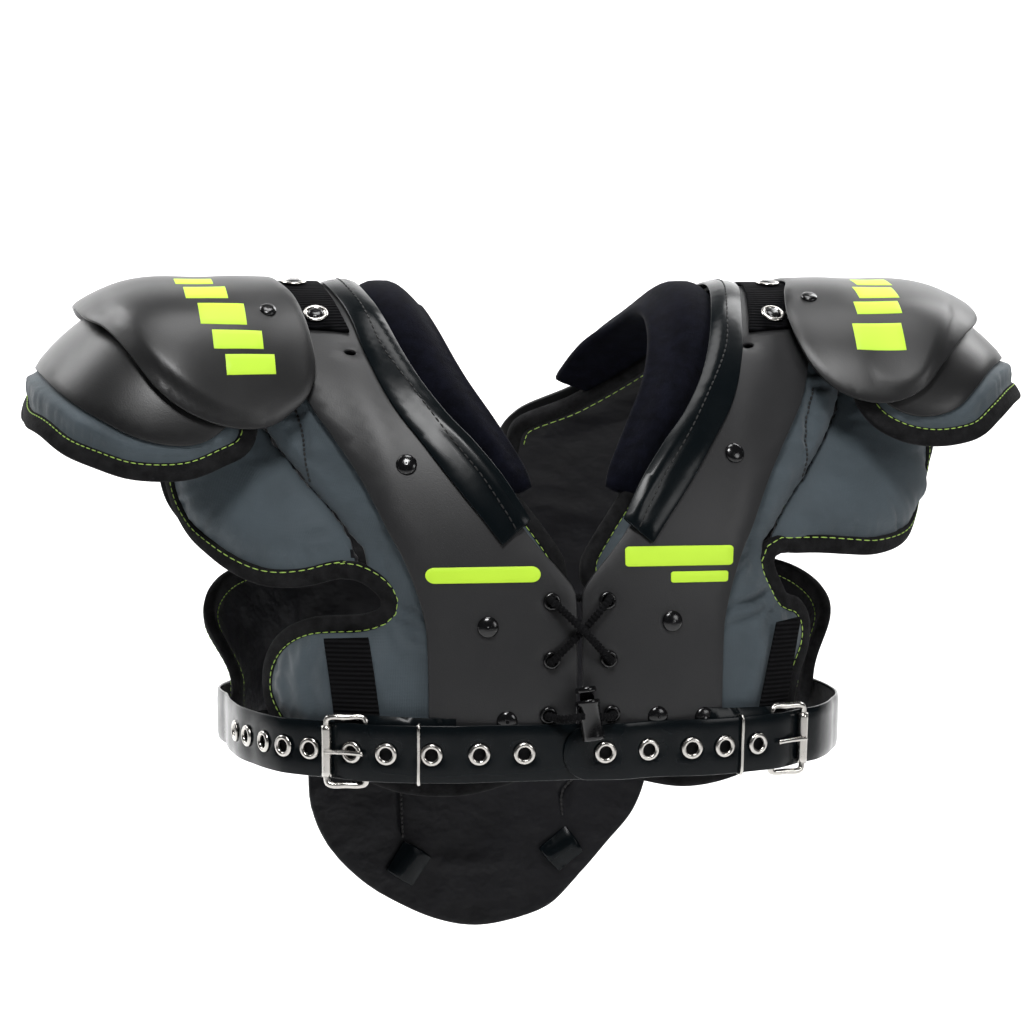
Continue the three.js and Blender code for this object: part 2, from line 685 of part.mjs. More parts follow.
function belt(side, word) {
  const spec = BELTS[side];
  const inner = (u) => lookup(spec.inner, u);
  const outer = (u) => inner(u) + BELT_THICK;
  const holes = spec.eyelets.map((u) => hole(u, BELT_TAPE.middle, 4.4, body));
  add(`belt_${word}`, sheet(body, beltOutline(spec), { inner, outer, holes }), "patent");
  spec.eyelets.forEach((u, k) => {
    add(`belt_eyelet_${word}_${k + 1}`, turned(
      body, u, BELT_TAPE.middle, (angle) => outer(angle) + 0.5, EYELET), "metal");
  });
  buckle(side, word, spec, inner, outer);
}

const BAR = 1.6;
const KEEPER_WIRE = 0.8;

function buckle(side, word, spec, inner, outer) {
  const half = BELT_TAPE.half + 3.8;
  const rollerOut = outer(spec.roller) + BAR + 1.0;
  const pivotOut = inner(spec.pivot) - BAR - 1.1;
  const at = (u, v, out) => body.place(u, BELT_TAPE.middle + v, out);
  const middle = (spec.roller + spec.pivot) / 2;
  const middleOut = (rollerOut + pivotOut) / 2;
  const corner = 0.8 * Math.sign(middle - spec.roller);
  const loop = [
    at(spec.roller, half - 3, rollerOut), at(spec.roller, 0, rollerOut),
    at(spec.roller, 3 - half, rollerOut), at(spec.roller + corner, -half, rollerOut),
    at(middle, -half, middleOut), at(spec.pivot - corner, -half, pivotOut),
    at(spec.pivot, 3 - half, pivotOut), at(spec.pivot, 0, pivotOut),
    at(spec.pivot, half - 3, pivotOut), at(spec.pivot - corner, half, pivotOut),
    at(middle, half, middleOut), at(spec.roller + corner, half, rollerOut),
  ];
  add(`buckle_frame_${word}`, wire(loop, BAR, { closed: true, steps: 32, sides: 6 }), "metal");

  const tip = at(spec.roller, 0, rollerOut + BAR + 1.2);
  const lean = at(middle, 0, outer(middle) + 2.4);
  const root = at(spec.pivot, 0, outer(spec.pivot) + 2.0);
  add(`buckle_prong_${word}`, wire([tip, lean, root], 1.1, { steps: 8 }), "metal");

  const reach = 1.6;
  const keeperHalf = BELT_TAPE.half + 1.4;
  const top = outer(spec.keeper) + KEEPER_WIRE + 0.5;
  const under = inner(spec.keeper) - KEEPER_WIRE - 0.5;
  const hoop = [
    at(spec.keeper, keeperHalf - reach, top), at(spec.keeper, 0, top),
    at(spec.keeper, reach - keeperHalf, top), at(spec.keeper, -keeperHalf, (top + under) / 2),
    at(spec.keeper, reach - keeperHalf, under), at(spec.keeper, 0, under),
    at(spec.keeper, keeperHalf - reach, under), at(spec.keeper, keeperHalf, (top + under) / 2),
  ];
  add(`belt_keeper_${word}`, wire(hoop, KEEPER_WIRE, { closed: true, steps: 24, sides: 5 }), "metal");
}

function sideStrap(side, word) {
  add(`side_webbing_${word}`, sheet(body, forSide(side, SIDE_STRAPS[side]), {
    inner: PAD + 0.3, outer: PAD + 1.6,
  }), "web");
}

// Back.
function back() {
  add("back_flap", sheet(body, FLAP_OUTLINE, { inner: -6, outer: -0.5, edge: 0.5, roll: 9 }), "satin");
  for (const [side, word] of SIDES) {
    add(`flap_tab_${word}`, sheet(body, FLAP_TABS[side], { inner: -7.6, outer: -6.35 }), "patent");
  }
  BACK_STRAP_TAPES.forEach((tape, k) => {
    const { reach, half } = BACK_STRAP;
    const rows = [
      [-reach, tape - half], [reach, tape - half],
      [reach, tape + half], [-reach, tape + half],
    ];
    add(`back_strap_${k === 0 ? "upper" : "lower"}`, sheet(body, rows, {
      inner: WEBBING[0], outer: WEBBING[1],
    }), "web");
  });
}

// Rivets, lace and cord lock.
const PLATE_RIVETS = [
  ["chest_left", -26.1, -124], ["mid_left", -16, -199], ["chest_right", 26.7, -120],
  ["mid_right", 16.4, -198],
];

function rivets() {
  for (const [name, angle, tape] of PLATE_RIVETS) {
    add(`plate_rivet_${name}`, turned(body, angle, tape, PLATE[1] + 0.3, RIVET), "patent");
  }
}

const CORD = 1.8;
const LOCK = { angle: 1.0, tape: -241, out: 28.6, tilt: 12 };

function lace() {
  const over = PLATE[1] + CORD + 0.5;
  const under = PLATE[0] - CORD - 0.5;
  const [top, low, lock] = LACE_HOLES;
  const at = (u, v, out) => body.place(u, v, out);
  const rise = (side, [u, v], from, to) => [
    at(side * u, v, from), at(side * u, v, (from + to) / 2), at(side * u, v, to),
  ];
  const points = [
    at(LOCK.angle, LOCK.tape, LOCK.out),
    at(LOCK.angle - 3.4, LOCK.tape, LOCK.out - 2),
    ...rise(LEFT, lock, over, under),
    at(-5.4, -228, under),
    ...rise(LEFT, low, under, over),
    at(0.2, -201.5, over),
    ...rise(RIGHT, top, over, under),
    at(0, -186.5, under - 0.5),
    ...rise(LEFT, top, under, over),
    at(0.2, -201.5, over + 2 * CORD + 1.1),
    ...rise(RIGHT, low, over, under),
    at(5.4, -228, under),
    ...rise(RIGHT, lock, under, over),
    at(LOCK.angle + 3.2, LOCK.tape, LOCK.out - 2),
  ];
  add("chest_lace", wire(points, CORD, { closed: true, steps: 110, sides: 6 }), "web");
}

// The cord lock stands along its own axis; profile rows are [radius, height on the axis].
const BARREL = { radius: 5.5, low: -11, top: 9, bore: 3.9, floor: -7.6, cross: 2.4 };
const PLUNGER = { stem: 3.5, low: -3.6, head: 5.2, neck: 12.6, top: 15.4, slot: 2.4, travel: 3.0 };

function lockFrame() {
  const out = body.normal(LOCK.angle, LOCK.tape);
  const up = new THREE.Vector3(0, 0, 1);
  const across = new THREE.Vector3().crossVectors(up, out).normalize();
  const axis = new THREE.Vector3().crossVectors(out, across).normalize();
  axis.multiplyScalar(Math.cos(LOCK.tilt * RAD)).addScaledVector(out, -Math.sin(LOCK.tilt * RAD));
  const depth = new THREE.Vector3().crossVectors(across, axis).normalize();
  const frame = new THREE.Matrix4().makeBasis(across, depth.negate(), axis);
  const seat = body.place(LOCK.angle, LOCK.tape, LOCK.out);
  return frame.setPosition(seat);
}

function rod(radius, low, high, sides = 20) {
  const geometry = new THREE.CylinderGeometry(radius, radius, high - low, sides);
  geometry.rotateX(Math.PI / 2);
  geometry.translate(0, 0, (low + high) / 2);
  return toManifold(geometry);
}

function cordLock() {
  const frame = lockFrame();
  const crossHole = toManifold(new THREE.CylinderGeometry(BARREL.cross, BARREL.cross, 40, 12)
    .rotateZ(Math.PI / 2));
  const flange = rod(BARREL.radius + 0.6, BARREL.top - 2, BARREL.top);
  const shell = rod(BARREL.radius, BARREL.low, BARREL.top).add(flange)
    .subtract(rod(BARREL.bore, BARREL.floor, BARREL.top + 1, 16)).subtract(crossHole);
  add("cord_lock_barrel", toGeometry(shell).applyMatrix4(frame), "plate");

  const slotHigh = toManifold(new THREE.BoxGeometry(40, 2 * PLUNGER.slot, PLUNGER.travel)
    .translate(0, 0, PLUNGER.travel / 2));
  const slot = crossHole.add(crossHole.translate([0, 0, PLUNGER.travel])).add(slotHigh);
  const stem = rod(PLUNGER.stem, PLUNGER.low, PLUNGER.neck + 0.5, 16);
  const button = rod(PLUNGER.head, PLUNGER.neck, PLUNGER.top);
  add("cord_lock_plunger", toGeometry(stem.add(button).subtract(slot)).applyMatrix4(frame), "plate");
}

for (const [side, word] of SIDES) {
  platesAndPads(side, word);
  neckline(side, word);
  shoulderWebbing(side, word);
  caps(side, word);
  sideStrap(side, word);
  belt(side, word);
}
back();
rivets();
lace();
cordLock();

export default group;
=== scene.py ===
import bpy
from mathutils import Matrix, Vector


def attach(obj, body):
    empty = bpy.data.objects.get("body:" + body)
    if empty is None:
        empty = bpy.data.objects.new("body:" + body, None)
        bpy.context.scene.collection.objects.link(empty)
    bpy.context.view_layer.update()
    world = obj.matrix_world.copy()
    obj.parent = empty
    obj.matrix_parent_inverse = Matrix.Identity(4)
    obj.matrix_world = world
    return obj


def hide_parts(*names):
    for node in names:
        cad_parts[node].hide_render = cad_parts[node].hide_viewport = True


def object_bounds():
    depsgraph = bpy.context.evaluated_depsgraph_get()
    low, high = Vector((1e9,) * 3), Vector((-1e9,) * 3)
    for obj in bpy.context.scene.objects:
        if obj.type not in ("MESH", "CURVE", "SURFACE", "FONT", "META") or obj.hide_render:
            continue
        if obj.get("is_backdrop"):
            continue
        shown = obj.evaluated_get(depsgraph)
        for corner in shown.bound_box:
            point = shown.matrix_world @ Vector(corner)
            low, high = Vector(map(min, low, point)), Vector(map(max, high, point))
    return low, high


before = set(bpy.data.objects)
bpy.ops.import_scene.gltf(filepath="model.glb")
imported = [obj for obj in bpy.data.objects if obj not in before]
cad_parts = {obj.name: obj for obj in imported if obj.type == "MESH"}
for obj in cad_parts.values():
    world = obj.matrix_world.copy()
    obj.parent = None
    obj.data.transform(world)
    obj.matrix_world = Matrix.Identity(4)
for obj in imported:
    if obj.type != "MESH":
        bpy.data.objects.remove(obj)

import math

import bmesh
import bpy
import numpy as np
from mathutils import Vector, noise
from mathutils.bvhtree import BVHTree
from mathutils.geometry import delaunay_2d_cdt
from mathutils.kdtree import KDTree

CAD_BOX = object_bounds()
MM = 0.001
LEFT, RIGHT = -1, 1
SIDES = ((LEFT, "left"), (RIGHT, "right"))
PAD_BODY = "pad"
PLUNGER_BODY = "cord_lock_plunger"

# Layers, as distances in mm from the inner face of the pads.
PAD = 15.4
PLATE_IN, PLATE_OUT = 16.0, 19.0
STRIP_IN, STRIP_OUT = 19.3, 21.2
WEB_IN, WEB_OUT = 19.35, 21.0
BELT_THICK = 2.0
CAP_TOP, CAP_UNDER = 11.5, 9.3
SKIRT_TOP, SKIRT_UNDER = 8.9, 6.6
CAP_PAD_TOP = 6.2


# Small maths.
def smooth(t):
    t = np.clip(t, 0.0, 1.0)
    return t * t * (3 - 2 * t)


def table_at(table, x):
    """Straight interpolation in a table of (position, value) rows."""
    rows = np.asarray(table, float)
    return np.interp(x, rows[:, 0], rows[:, 1])


def through(rows, t):
    """A smooth curve through rows of numbers, at row parameters t."""
    rows = np.asarray(rows, float)
    last = len(rows) - 1
    t = np.clip(np.atleast_1d(t), 0, last - 1e-9)
    i = t.astype(int)
    f = (t - i)[:, None]
    p1, p2 = rows[i], rows[i + 1]
    p0 = np.where((i > 0)[:, None], rows[np.maximum(i - 1, 0)], 2 * p1 - p2)
    p3 = np.where((i + 2 <= last)[:, None], rows[np.minimum(i + 2, last)], 2 * p2 - p1)
    return 0.5 * (2 * p1 + (p2 - p0) * f + (2 * p0 - 5 * p1 + 4 * p2 - p3) * f**2
                  + (3 * p1 - p0 - 3 * p2 + p3) * f**3)


def tape_table(rows, zero_row):
    t = np.linspace(0, len(rows) - 1, (len(rows) - 1) * 20 + 1)
    points = through(rows, t)
    steps = np.hypot(*np.diff(points[:, :2], axis=0).T)
    length = np.concatenate([[0], np.cumsum(steps)])
    return length - length[zero_row * 20], t


def unit(v):
    return v / np.maximum(np.linalg.norm(v, axis=-1, keepdims=True), 1e-12)


# The wearer's body: angle round the chest, tape length over the shoulder.
# Columns: half depth, height, half width, in mm.
SHOULDER_TO_HEM = [
    (33, -10, 218), (62, -34, 196), (85, -66, 176), (99, -100, 163), (106, -135, 156),
    (108, -170, 153), (107, -205, 152), (104, -240, 152), (102, -275, 152),
    (100, -310, 150), (98, -345, 148),
]
FRONT_ROWS = [(-depth, z, width) for depth, z, width in reversed(SHOULDER_TO_HEM)]
BODY_ROWS = [*FRONT_ROWS, (0, 0, 230), *SHOULDER_TO_HEM]
BODY_TAPE = tape_table(BODY_ROWS, len(SHOULDER_TO_HEM))
CHEST_SQUARENESS = 2.5
DROOP_FROM, DROOP_RATE, DROOP_TAPE = 120.0, 0.0011, 80.0


def square_round(angle, power):
    """Superellipse point at an angle, as fractions of the two half axes."""
    sn, cs = np.sin(np.radians(angle)), np.cos(np.radians(angle))
    q = (np.abs(sn)**power + np.abs(cs)**power) ** (-1 / power)
    return sn * q, cs * q


def body_point(angle, tape):
    rows = through(BODY_ROWS, np.interp(tape, *BODY_TAPE))
    across, along = square_round(angle, CHEST_SQUARENESS)
    x = rows[:, 2] * across
    outside = np.maximum(0, np.abs(x) - DROOP_FROM)
    droop = DROOP_RATE * outside**2 * np.maximum(0, 1 - np.abs(tape) / DROOP_TAPE)
    return np.stack([x, rows[:, 0] * along, rows[:, 1] - droop], 1)


# The shoulder dome under the caps: tape outwards, angle from the top.
# Columns: distance from the middle, top height, half depth, fall to the brim, in mm.
DOME_ROWS = [
    (120, 12, 74, 92), (150, 11.1, 80, 92), (175, 9.6, 84, 92), (200, 6, 85, 88),
    (220, -1, 82, 82), (236, -12, 76, 74), (250, -27, 68, 62), (258, -42, 60, 50),
    (262, -58, 54, 44),
]
DOME_TAPE = tape_table(DOME_ROWS, 0)
DOME_SQUARENESS = 2.3


def dome_point(side):
    def point(tape, angle):
        rows = through(DOME_ROWS, np.interp(tape, *DOME_TAPE))
        along, up = square_round(angle, DOME_SQUARENESS)
        top = rows[:, 1] - rows[:, 3] * (1 - up)
        return np.stack([side * rows[:, 0], -rows[:, 2] * along, top], 1)
    return point


class Chart:
    """A curved face with two coordinates, u and v, and a distance out of it."""

    def __init__(self, point, u_size, v_size, flip=1, lift=None):
        self.point, self.flip, self.lift = point, flip, lift
        self.size = np.array([u_size, v_size])

    def normal(self, u, v):
        h = 0.6 / self.size
        du = self.point(u + h[0], v) - self.point(u - h[0], v)
        dv = self.point(u, v + h[1]) - self.point(u, v - h[1])
        return unit(np.cross(du, dv)) * self.flip

    def at(self, u, v, out=0.0):
        u, v = np.atleast_1d(np.asarray(u, float)), np.atleast_1d(np.asarray(v, float))
        out = np.broadcast_to(np.asarray(out, float), u.shape)
        if self.lift:
            out = out + self.lift(u, v)
        return (self.point(u, v) + self.normal(u, v) * out[:, None]) * MM

    def spot(self, u, v, out=0.0):
        return Vector(self.at(u, v, out)[0])

    def axes(self, u, v):
        """Directions along u, along v and out, at one spot."""
        h = 0.6 / self.size
        along = Vector(self.at(u + h[0], v)[0] - self.at(u - h[0], v)[0]).normalized()
        out = Vector(self.normal(np.array([u]), np.array([v]))[0])
        return along, out.cross(along).normalized() * self.flip, out


DEGREE = 2.3
DEGREE_SIZE = np.array([DEGREE, 1.0])
CREASE = [(0, 38), (30, 41), (60, 46), (103, 47.5), (150, 38.4), (166, 36), (200, 31), (400, 30)]


def deltoid_bulge(reach):
    def lift(angle, tape):
        beyond = np.abs(angle) - table_at(CREASE, np.abs(tape))
        return reach * smooth(beyond / 35) * smooth((np.abs(tape) - 35) / 60)
    return lift


def wing_flare(angle, tape):
    flare = 13 * smooth((np.abs(angle) - 50) / 35) * (1 - smooth((tape - 200) / 40))
    return np.where(tape < 0, 0, flare)


def cap_lift(tape, angle):
    outer = 5 * smooth((tape - 45) / 48) * (1 - 0.6 * smooth(np.abs(angle) / 62))
    return outer + 1.4 * smooth((tape - 12) / 30)


BODY = Chart(body_point, DEGREE, 1)
WINGS = Chart(body_point, DEGREE, 1, lift=wing_flare)
DELTOID_BULGE = {LEFT: 24, RIGHT: 36}
DELTOIDS = {s: Chart(body_point, DEGREE, 1, lift=deltoid_bulge(DELTOID_BULGE[s]))
            for s in (LEFT, RIGHT)}
DOMES = {s: Chart(dome_point(s), 1, 1.45, -s) for s in (LEFT, RIGHT)}
LIFTED_DOMES = {s: Chart(dome_point(s), 1, 1.45, -s, cap_lift) for s in (LEFT, RIGHT)}


# Flat patterns.
def rounded(rows, size, step=3.0, closed=True):
    """A smooth line through table rows, in mm of cloth; a third column of 1 keeps a corner."""
    points = [np.array(row[:2], float) * size for row in rows]
    sharp = [len(row) > 2 and row[2] == 1 for row in rows]
    count = len(points)
    legs = count if closed else count - 1

    def heading(i):
        before = unit(points[i] - points[i - 1])
        after = unit(points[(i + 1) % count] - points[i])
        if not closed and i == 0:
            return after, after
        if not closed and i == count - 1:
            return before, before
        middle = unit(before + after)
        return (before, after) if sharp[i] else (middle, middle)

    line = []
    for i in range(legs):
        p, q = points[i], points[(i + 1) % count]
        length = np.linalg.norm(q - p)
        before = np.linalg.norm(p - points[i - 1]) if closed or i else length
        after = np.linalg.norm(points[(i + 2) % count] - q) if closed or i < legs - 1 else length
        m0 = heading(i)[1] * min(length, 1.5 * before)
        m1 = heading((i + 1) % count)[0] * min(length, 1.5 * after)
        t = np.linspace(0, 1, max(1, round(length / step)) + 1)[:-1, None]
        line.append(p * (2 * t**3 - 3 * t**2 + 1) + m0 * (t**3 - 2 * t**2 + t)
                    + q * (3 * t**2 - 2 * t**3) + m1 * (t**3 - t**2))
    if not closed:
        line.append(points[-1][None])
    return np.concatenate(line)


def area_sign(line):
    x, y = line.T
    return np.sign(np.sum(x * np.roll(y, -1) - y * np.roll(x, -1)))


def anticlockwise(line):
    return line if area_sign(line) > 0 else line[::-1]


def inside(points, loops):
    odd = np.zeros(len(points), bool)
    for loop in loops:
        a, b = loop, np.roll(loop, -1, axis=0)
        for (x0, y0), (x1, y1) in zip(a, b):
            crosses = (y0 > points[:, 1]) != (y1 > points[:, 1])
            if crosses.any():
                x = x0 + (points[:, 1] - y0) * (x1 - x0) / ((y1 - y0) or 1e-12)
                odd ^= crosses & (points[:, 0] < x)
    return odd


def edge_distance(points, loops):
    best = np.full(len(points), 1e9)
    for loop in loops:
        for p, q in zip(loop, np.roll(loop, -1, axis=0)):
            d = q - p
            w = points - p
            t = np.clip((w @ d) / max(d @ d, 1e-12), 0, 1)
            best = np.minimum(best, np.hypot(*(w - t[:, None] * d).T))
    return best


def open_distance(points, line):
    return edge_distance(points, [np.concatenate([line, line[::-1]])])


def short_of(line, crease, gap=1.3):
    """The line of a pad's cloth: inside its binding, and out at the crease."""
    line = anticlockwise(line)
    return inset(line, gap * smooth((open_distance(line, crease) - 2) / 8)[:, None])


def inset(line, distance):
    """The line moved inwards by a distance."""
    line = anticlockwise(line)
    along = unit(np.roll(line, -1, axis=0) - np.roll(line, 1, axis=0))
    return line + np.stack([-along[:, 1], along[:, 0]], 1) * distance


def hem_line(outline, part, distance):
    """An open line that follows part of an outline at a distance inside it."""
    along = unit(np.gradient(part, axis=0))
    square = np.stack([-along[:, 1], along[:, 0]], 1) * distance
    return max(part + square, part - square, key=lambda line: inside(line, [outline]).sum())


def triangles(loops, cell):
    """Points and triangles that fill the first loop and leave the others open."""
    low, high = loops[0].min(axis=0), loops[0].max(axis=0)
    rows = np.arange(low[1], high[1], cell * 0.87)
    grid = []
    for k, y in enumerate(rows):
        x = np.arange(low[0] + (k % 2) * cell / 2, high[0], cell)
        grid.append(np.stack([x, np.full(len(x), y)], 1))
    grid = np.concatenate(grid)
    grid = grid[inside(grid, loops)]
    grid = grid[edge_distance(grid, loops) > cell * 0.55]
    points, edges = [], []
    for loop in loops:
        first = len(points)
        points += [Vector(p) for p in loop]
        edges += [(first + k, first + (k + 1) % len(loop)) for k in range(len(loop))]
    points += [Vector(p) for p in grid]
    made = delaunay_2d_cdt(points, edges, [], 0, 1e-6)
    verts = np.array([tuple(v) for v in made[0]])
    faces = np.array(made[2])
    faces = faces[inside(verts[faces].mean(axis=1), loops)]
    a, b, c = verts[faces[:, 0]], verts[faces[:, 1]], verts[faces[:, 2]]
    turn = (b[:, 0] - a[:, 0]) * (c[:, 1] - a[:, 1]) - (b[:, 1] - a[:, 1]) * (c[:, 0] - a[:, 0])
    faces[turn < 0] = faces[turn < 0][:, ::-1]
    return verts, faces


# Meshes.
def make(name, verts, faces, material, uv=None, nodes=(), body=PAD_BODY, slot=None):
    mesh = bpy.data.meshes.new(name)
    mesh.from_pydata([tuple(map(float, v)) for v in verts], [], [tuple(map(int, f)) for f in faces])
    mesh.materials.append(material)
    if uv is not None:
        layer = mesh.uv_layers.new(name="cloth")
        index = np.empty(len(mesh.loops), int)
        mesh.loops.foreach_get("vertex_index", index)
        layer.data.foreach_set("uv", (np.asarray(uv, float)[index] / 100).ravel())
    mesh.validate()
    obj = bpy.data.objects.new(name, mesh)
    bpy.context.scene.collection.objects.link(obj)
    clean = bmesh.new()
    clean.from_mesh(mesh)
    bmesh.ops.recalc_face_normals(clean, faces=clean.faces)
    for face in clean.faces:
        face.smooth = True
    clean.to_mesh(mesh)
    clean.free()
    if body:
        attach(obj, body)
    if nodes:
        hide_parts(*nodes)
    return obj


RIM_TURNS = (60, 20, -20, -60)


def slab(name, chart, loops, cell, top, bottom, material, rim=0.6, **facts):
    """A sheet or pad between two faces, with a rounded rim. top and bottom take distances
    from the rim and chart coordinates and give distances out of the chart."""
    loops = [anticlockwise(loops[0])] + [anticlockwise(loop)[::-1] for loop in loops[1:]]
    flat, faces = triangles(loops, cell)
    away = edge_distance(flat, loops)
    u, v = (flat / chart.size).T
    high = chart.at(u, v, top(away, u, v))
    low = chart.at(u, v, bottom(away, u, v))
    if chart.flip < 0:
        faces = faces[:, ::-1]
    verts, uv = [high, low], [flat, flat]
    count = len(flat)
    shapes = [faces, faces[:, ::-1] + count]
    total = 2 * count
    quads = []
    for loop in loops:
        ids = [int(np.argmin(np.hypot(*(flat - p).T))) for p in loop]
        along = unit(np.roll(loop, -1, axis=0) - np.roll(loop, 1, axis=0))
        outward = np.stack([along[:, 1], -along[:, 0]], 1)
        upper, lower = high[ids], low[ids]
        side = unit(chart.at(*((loop + outward) / chart.size).T) - chart.at(*(loop / chart.size).T))
        half = np.linalg.norm(upper - lower, axis=1, keepdims=True) / 2
        rings = [np.array(ids)]
        for turn in RIM_TURNS:
            sn, cs = math.sin(math.radians(turn)), math.cos(math.radians(turn))
            ring = (upper + lower) / 2 + (upper - lower) / 2 * sn + side * half * rim * cs
            rings.append(np.arange(total, total + len(loop)))
            verts.append(ring)
            uv.append(loop)
            total += len(loop)
        rings.append(np.array(ids) + count)
        for r, s in zip(rings, rings[1:]):
            quads += [(r[k], s[k], s[(k + 1) % len(loop)], r[(k + 1) % len(loop)])
                      for k in range(len(loop))]
    every = [tuple(f) for part in shapes for f in part] + quads
    return make(name, np.concatenate(verts), every, material, np.concatenate(uv), **facts)


def level(value):
    return lambda away, u, v: np.full(len(u), float(value))


def tube_faces(rings, sides, closed=False, first=0):
    """Faces between rings of points, with a flat face at each end of an open tube."""
    faces = []
    for i in range(rings if closed else rings - 1):
        a, b = first + i * sides, first + (i + 1) % rings * sides
        faces += [(a + k, a + (k + 1) % sides, b + (k + 1) % sides, b + k) for k in range(sides)]
    if not closed:
        last = first + (rings - 1) * sides
        faces += [tuple(range(first, first + sides))[::-1], tuple(range(last, last + sides))]
    return faces


def run_of(points):
    """Length along a line up to each of its points."""
    return np.concatenate([[0], np.cumsum(np.linalg.norm(np.diff(points, axis=0), axis=1))])


def heading_of(path, closed):
    if closed:
        return unit(np.roll(path, -1, axis=0) - np.roll(path, 1, axis=0))
    return unit(np.gradient(path, axis=0))


def strip_uv(path, sides, around):
    legs = run_of(path) / MM
    return np.stack([np.repeat(legs, sides), np.tile(np.arange(sides) * around, len(path))], 1)


def sweep(name, path, ups, profile, material, closed=False, **facts):
    """A profile of (across, out) in mm carried along a path of points in metres."""
    path, ups = np.asarray(path, float), unit(np.asarray(ups, float))
    along = heading_of(path, closed)
    across = unit(np.cross(along, ups))
    ups = np.cross(across, along)
    wide, high = np.array(profile)[None, :, :1], np.array(profile)[None, :, 1:]
    verts = path[:, None] + MM * (across[:, None] * wide + ups[:, None] * high)
    faces = tube_faces(len(path), len(profile), closed)
    return make(name, verts.reshape(-1, 3), faces, material, strip_uv(path, len(profile), 2.0),
                **facts)


def oval(width, height, sides=12, shift=0.0, power=2.0):
    turns = np.radians(np.arange(sides) * 360 / sides)
    q = (np.abs(np.sin(turns))**power + np.abs(np.cos(turns))**power) ** (-1 / power)
    return [(shift + width / 2 * math.cos(t) * k, height / 2 * math.sin(t) * k)
            for t, k in zip(turns, q)]


def spline(points, count, closed=False):
    """Evenly spaced points on a smooth curve through points."""
    rows = [tuple(p) for p in points]
    if closed:
        rows = [*rows[-2:], *rows, *rows[:3]]
        t = np.linspace(2, len(rows) - 3, 12 * len(points) + 1)
    else:
        t = np.linspace(0, len(rows) - 1, 12 * len(points) + 1)
    curve = through(rows, t)
    steps = run_of(curve)
    want = np.linspace(0, steps[-1], count + 1 if closed else count)
    even = np.stack([np.interp(want, steps, curve[:, k]) for k in range(3)], 1)
    return even[:-1] if closed else even


def frames_along(path):
    """Directions square to a path that turn as little as they can."""
    along = unit(np.gradient(np.asarray(path, float), axis=0))
    up = Vector((0, 0, 1)) if abs(along[0][2]) < 0.8 else Vector((0, -1, 0))
    ups = []
    for direction in along:
        d = Vector(direction)
        up = (up - d * up.dot(d)).normalized()
        ups.append(tuple(up))
    return np.array(ups)


def tube(name, points, radius, material, closed=False, count=80, sides=12, **facts):
    path = spline(points, count, closed)
    return sweep(name, path, frames_along(path), oval(2 * radius, 2 * radius, sides),
                 material, closed, **facts)


def turned(name, seat, axis, profile, material, sides=40, **facts):
    """A turned part; profile rows are (radius, height) in mm along its axis."""
    turn = Vector((0, 0, 1)).rotation_difference(Vector(axis))
    hollow = profile[0] == profile[-1]
    rings = profile[:-1] if hollow else profile
    verts = []
    for radius, height in rings:
        for k in range(sides):
            a = 2 * math.pi * k / sides
            p = Vector((radius * math.cos(a), radius * math.sin(a), height)) * MM
            verts.append(Vector(seat) + turn @ p)
    return make(name, verts, tube_faces(len(rings), sides, hollow), material, **facts)


def stud(name, chart, u, v, out, profile, material, sides=40, **facts):
    """A turned part that stands square on a chart."""
    return turned(name, chart.spot(u, v, out), chart.axes(u, v)[2], profile, material, sides,
                  **facts)


# A stitch, as shares of its length with its girth there.
STITCH_SHARES = np.array([0.0, 0.15, 0.5, 0.85, 1.0])
STITCH_GIRTHS = (0.35, 0.8, 1.0, 0.8, 0.35)
STITCH_SIDES = 6


def stitches(name, chart, line, out, material, pitch=3.7, length=2.7, thick=0.55, closed=True):
    """Dashes of thread along a flat line; out gives their distance out of the chart."""
    line = np.concatenate([line, line[:1]]) if closed else line
    steps = run_of(line)
    starts = np.arange(0, steps[-1] - length, pitch)
    verts, faces = [], []
    for start in starts:
        s = start + STITCH_SHARES * length
        u = np.interp(s, steps, line[:, 0]) / chart.size[0]
        v = np.interp(s, steps, line[:, 1]) / chart.size[1]
        base = chart.at(u, v, out(u, v))
        ups = chart.normal(u, v)
        across = unit(np.cross(unit(np.gradient(base, axis=0)), ups))
        faces += tube_faces(len(s), STITCH_SIDES, first=len(verts))
        for girth, b, up, side in zip(STITCH_GIRTHS, base, ups, across):
            for k in range(STITCH_SIDES):
                a = 2 * math.pi * k / STITCH_SIDES
                verts.append(b + MM * thick / 2 * girth * (side * math.cos(a) + up * math.sin(a)))
    return make(name, verts, faces, material)


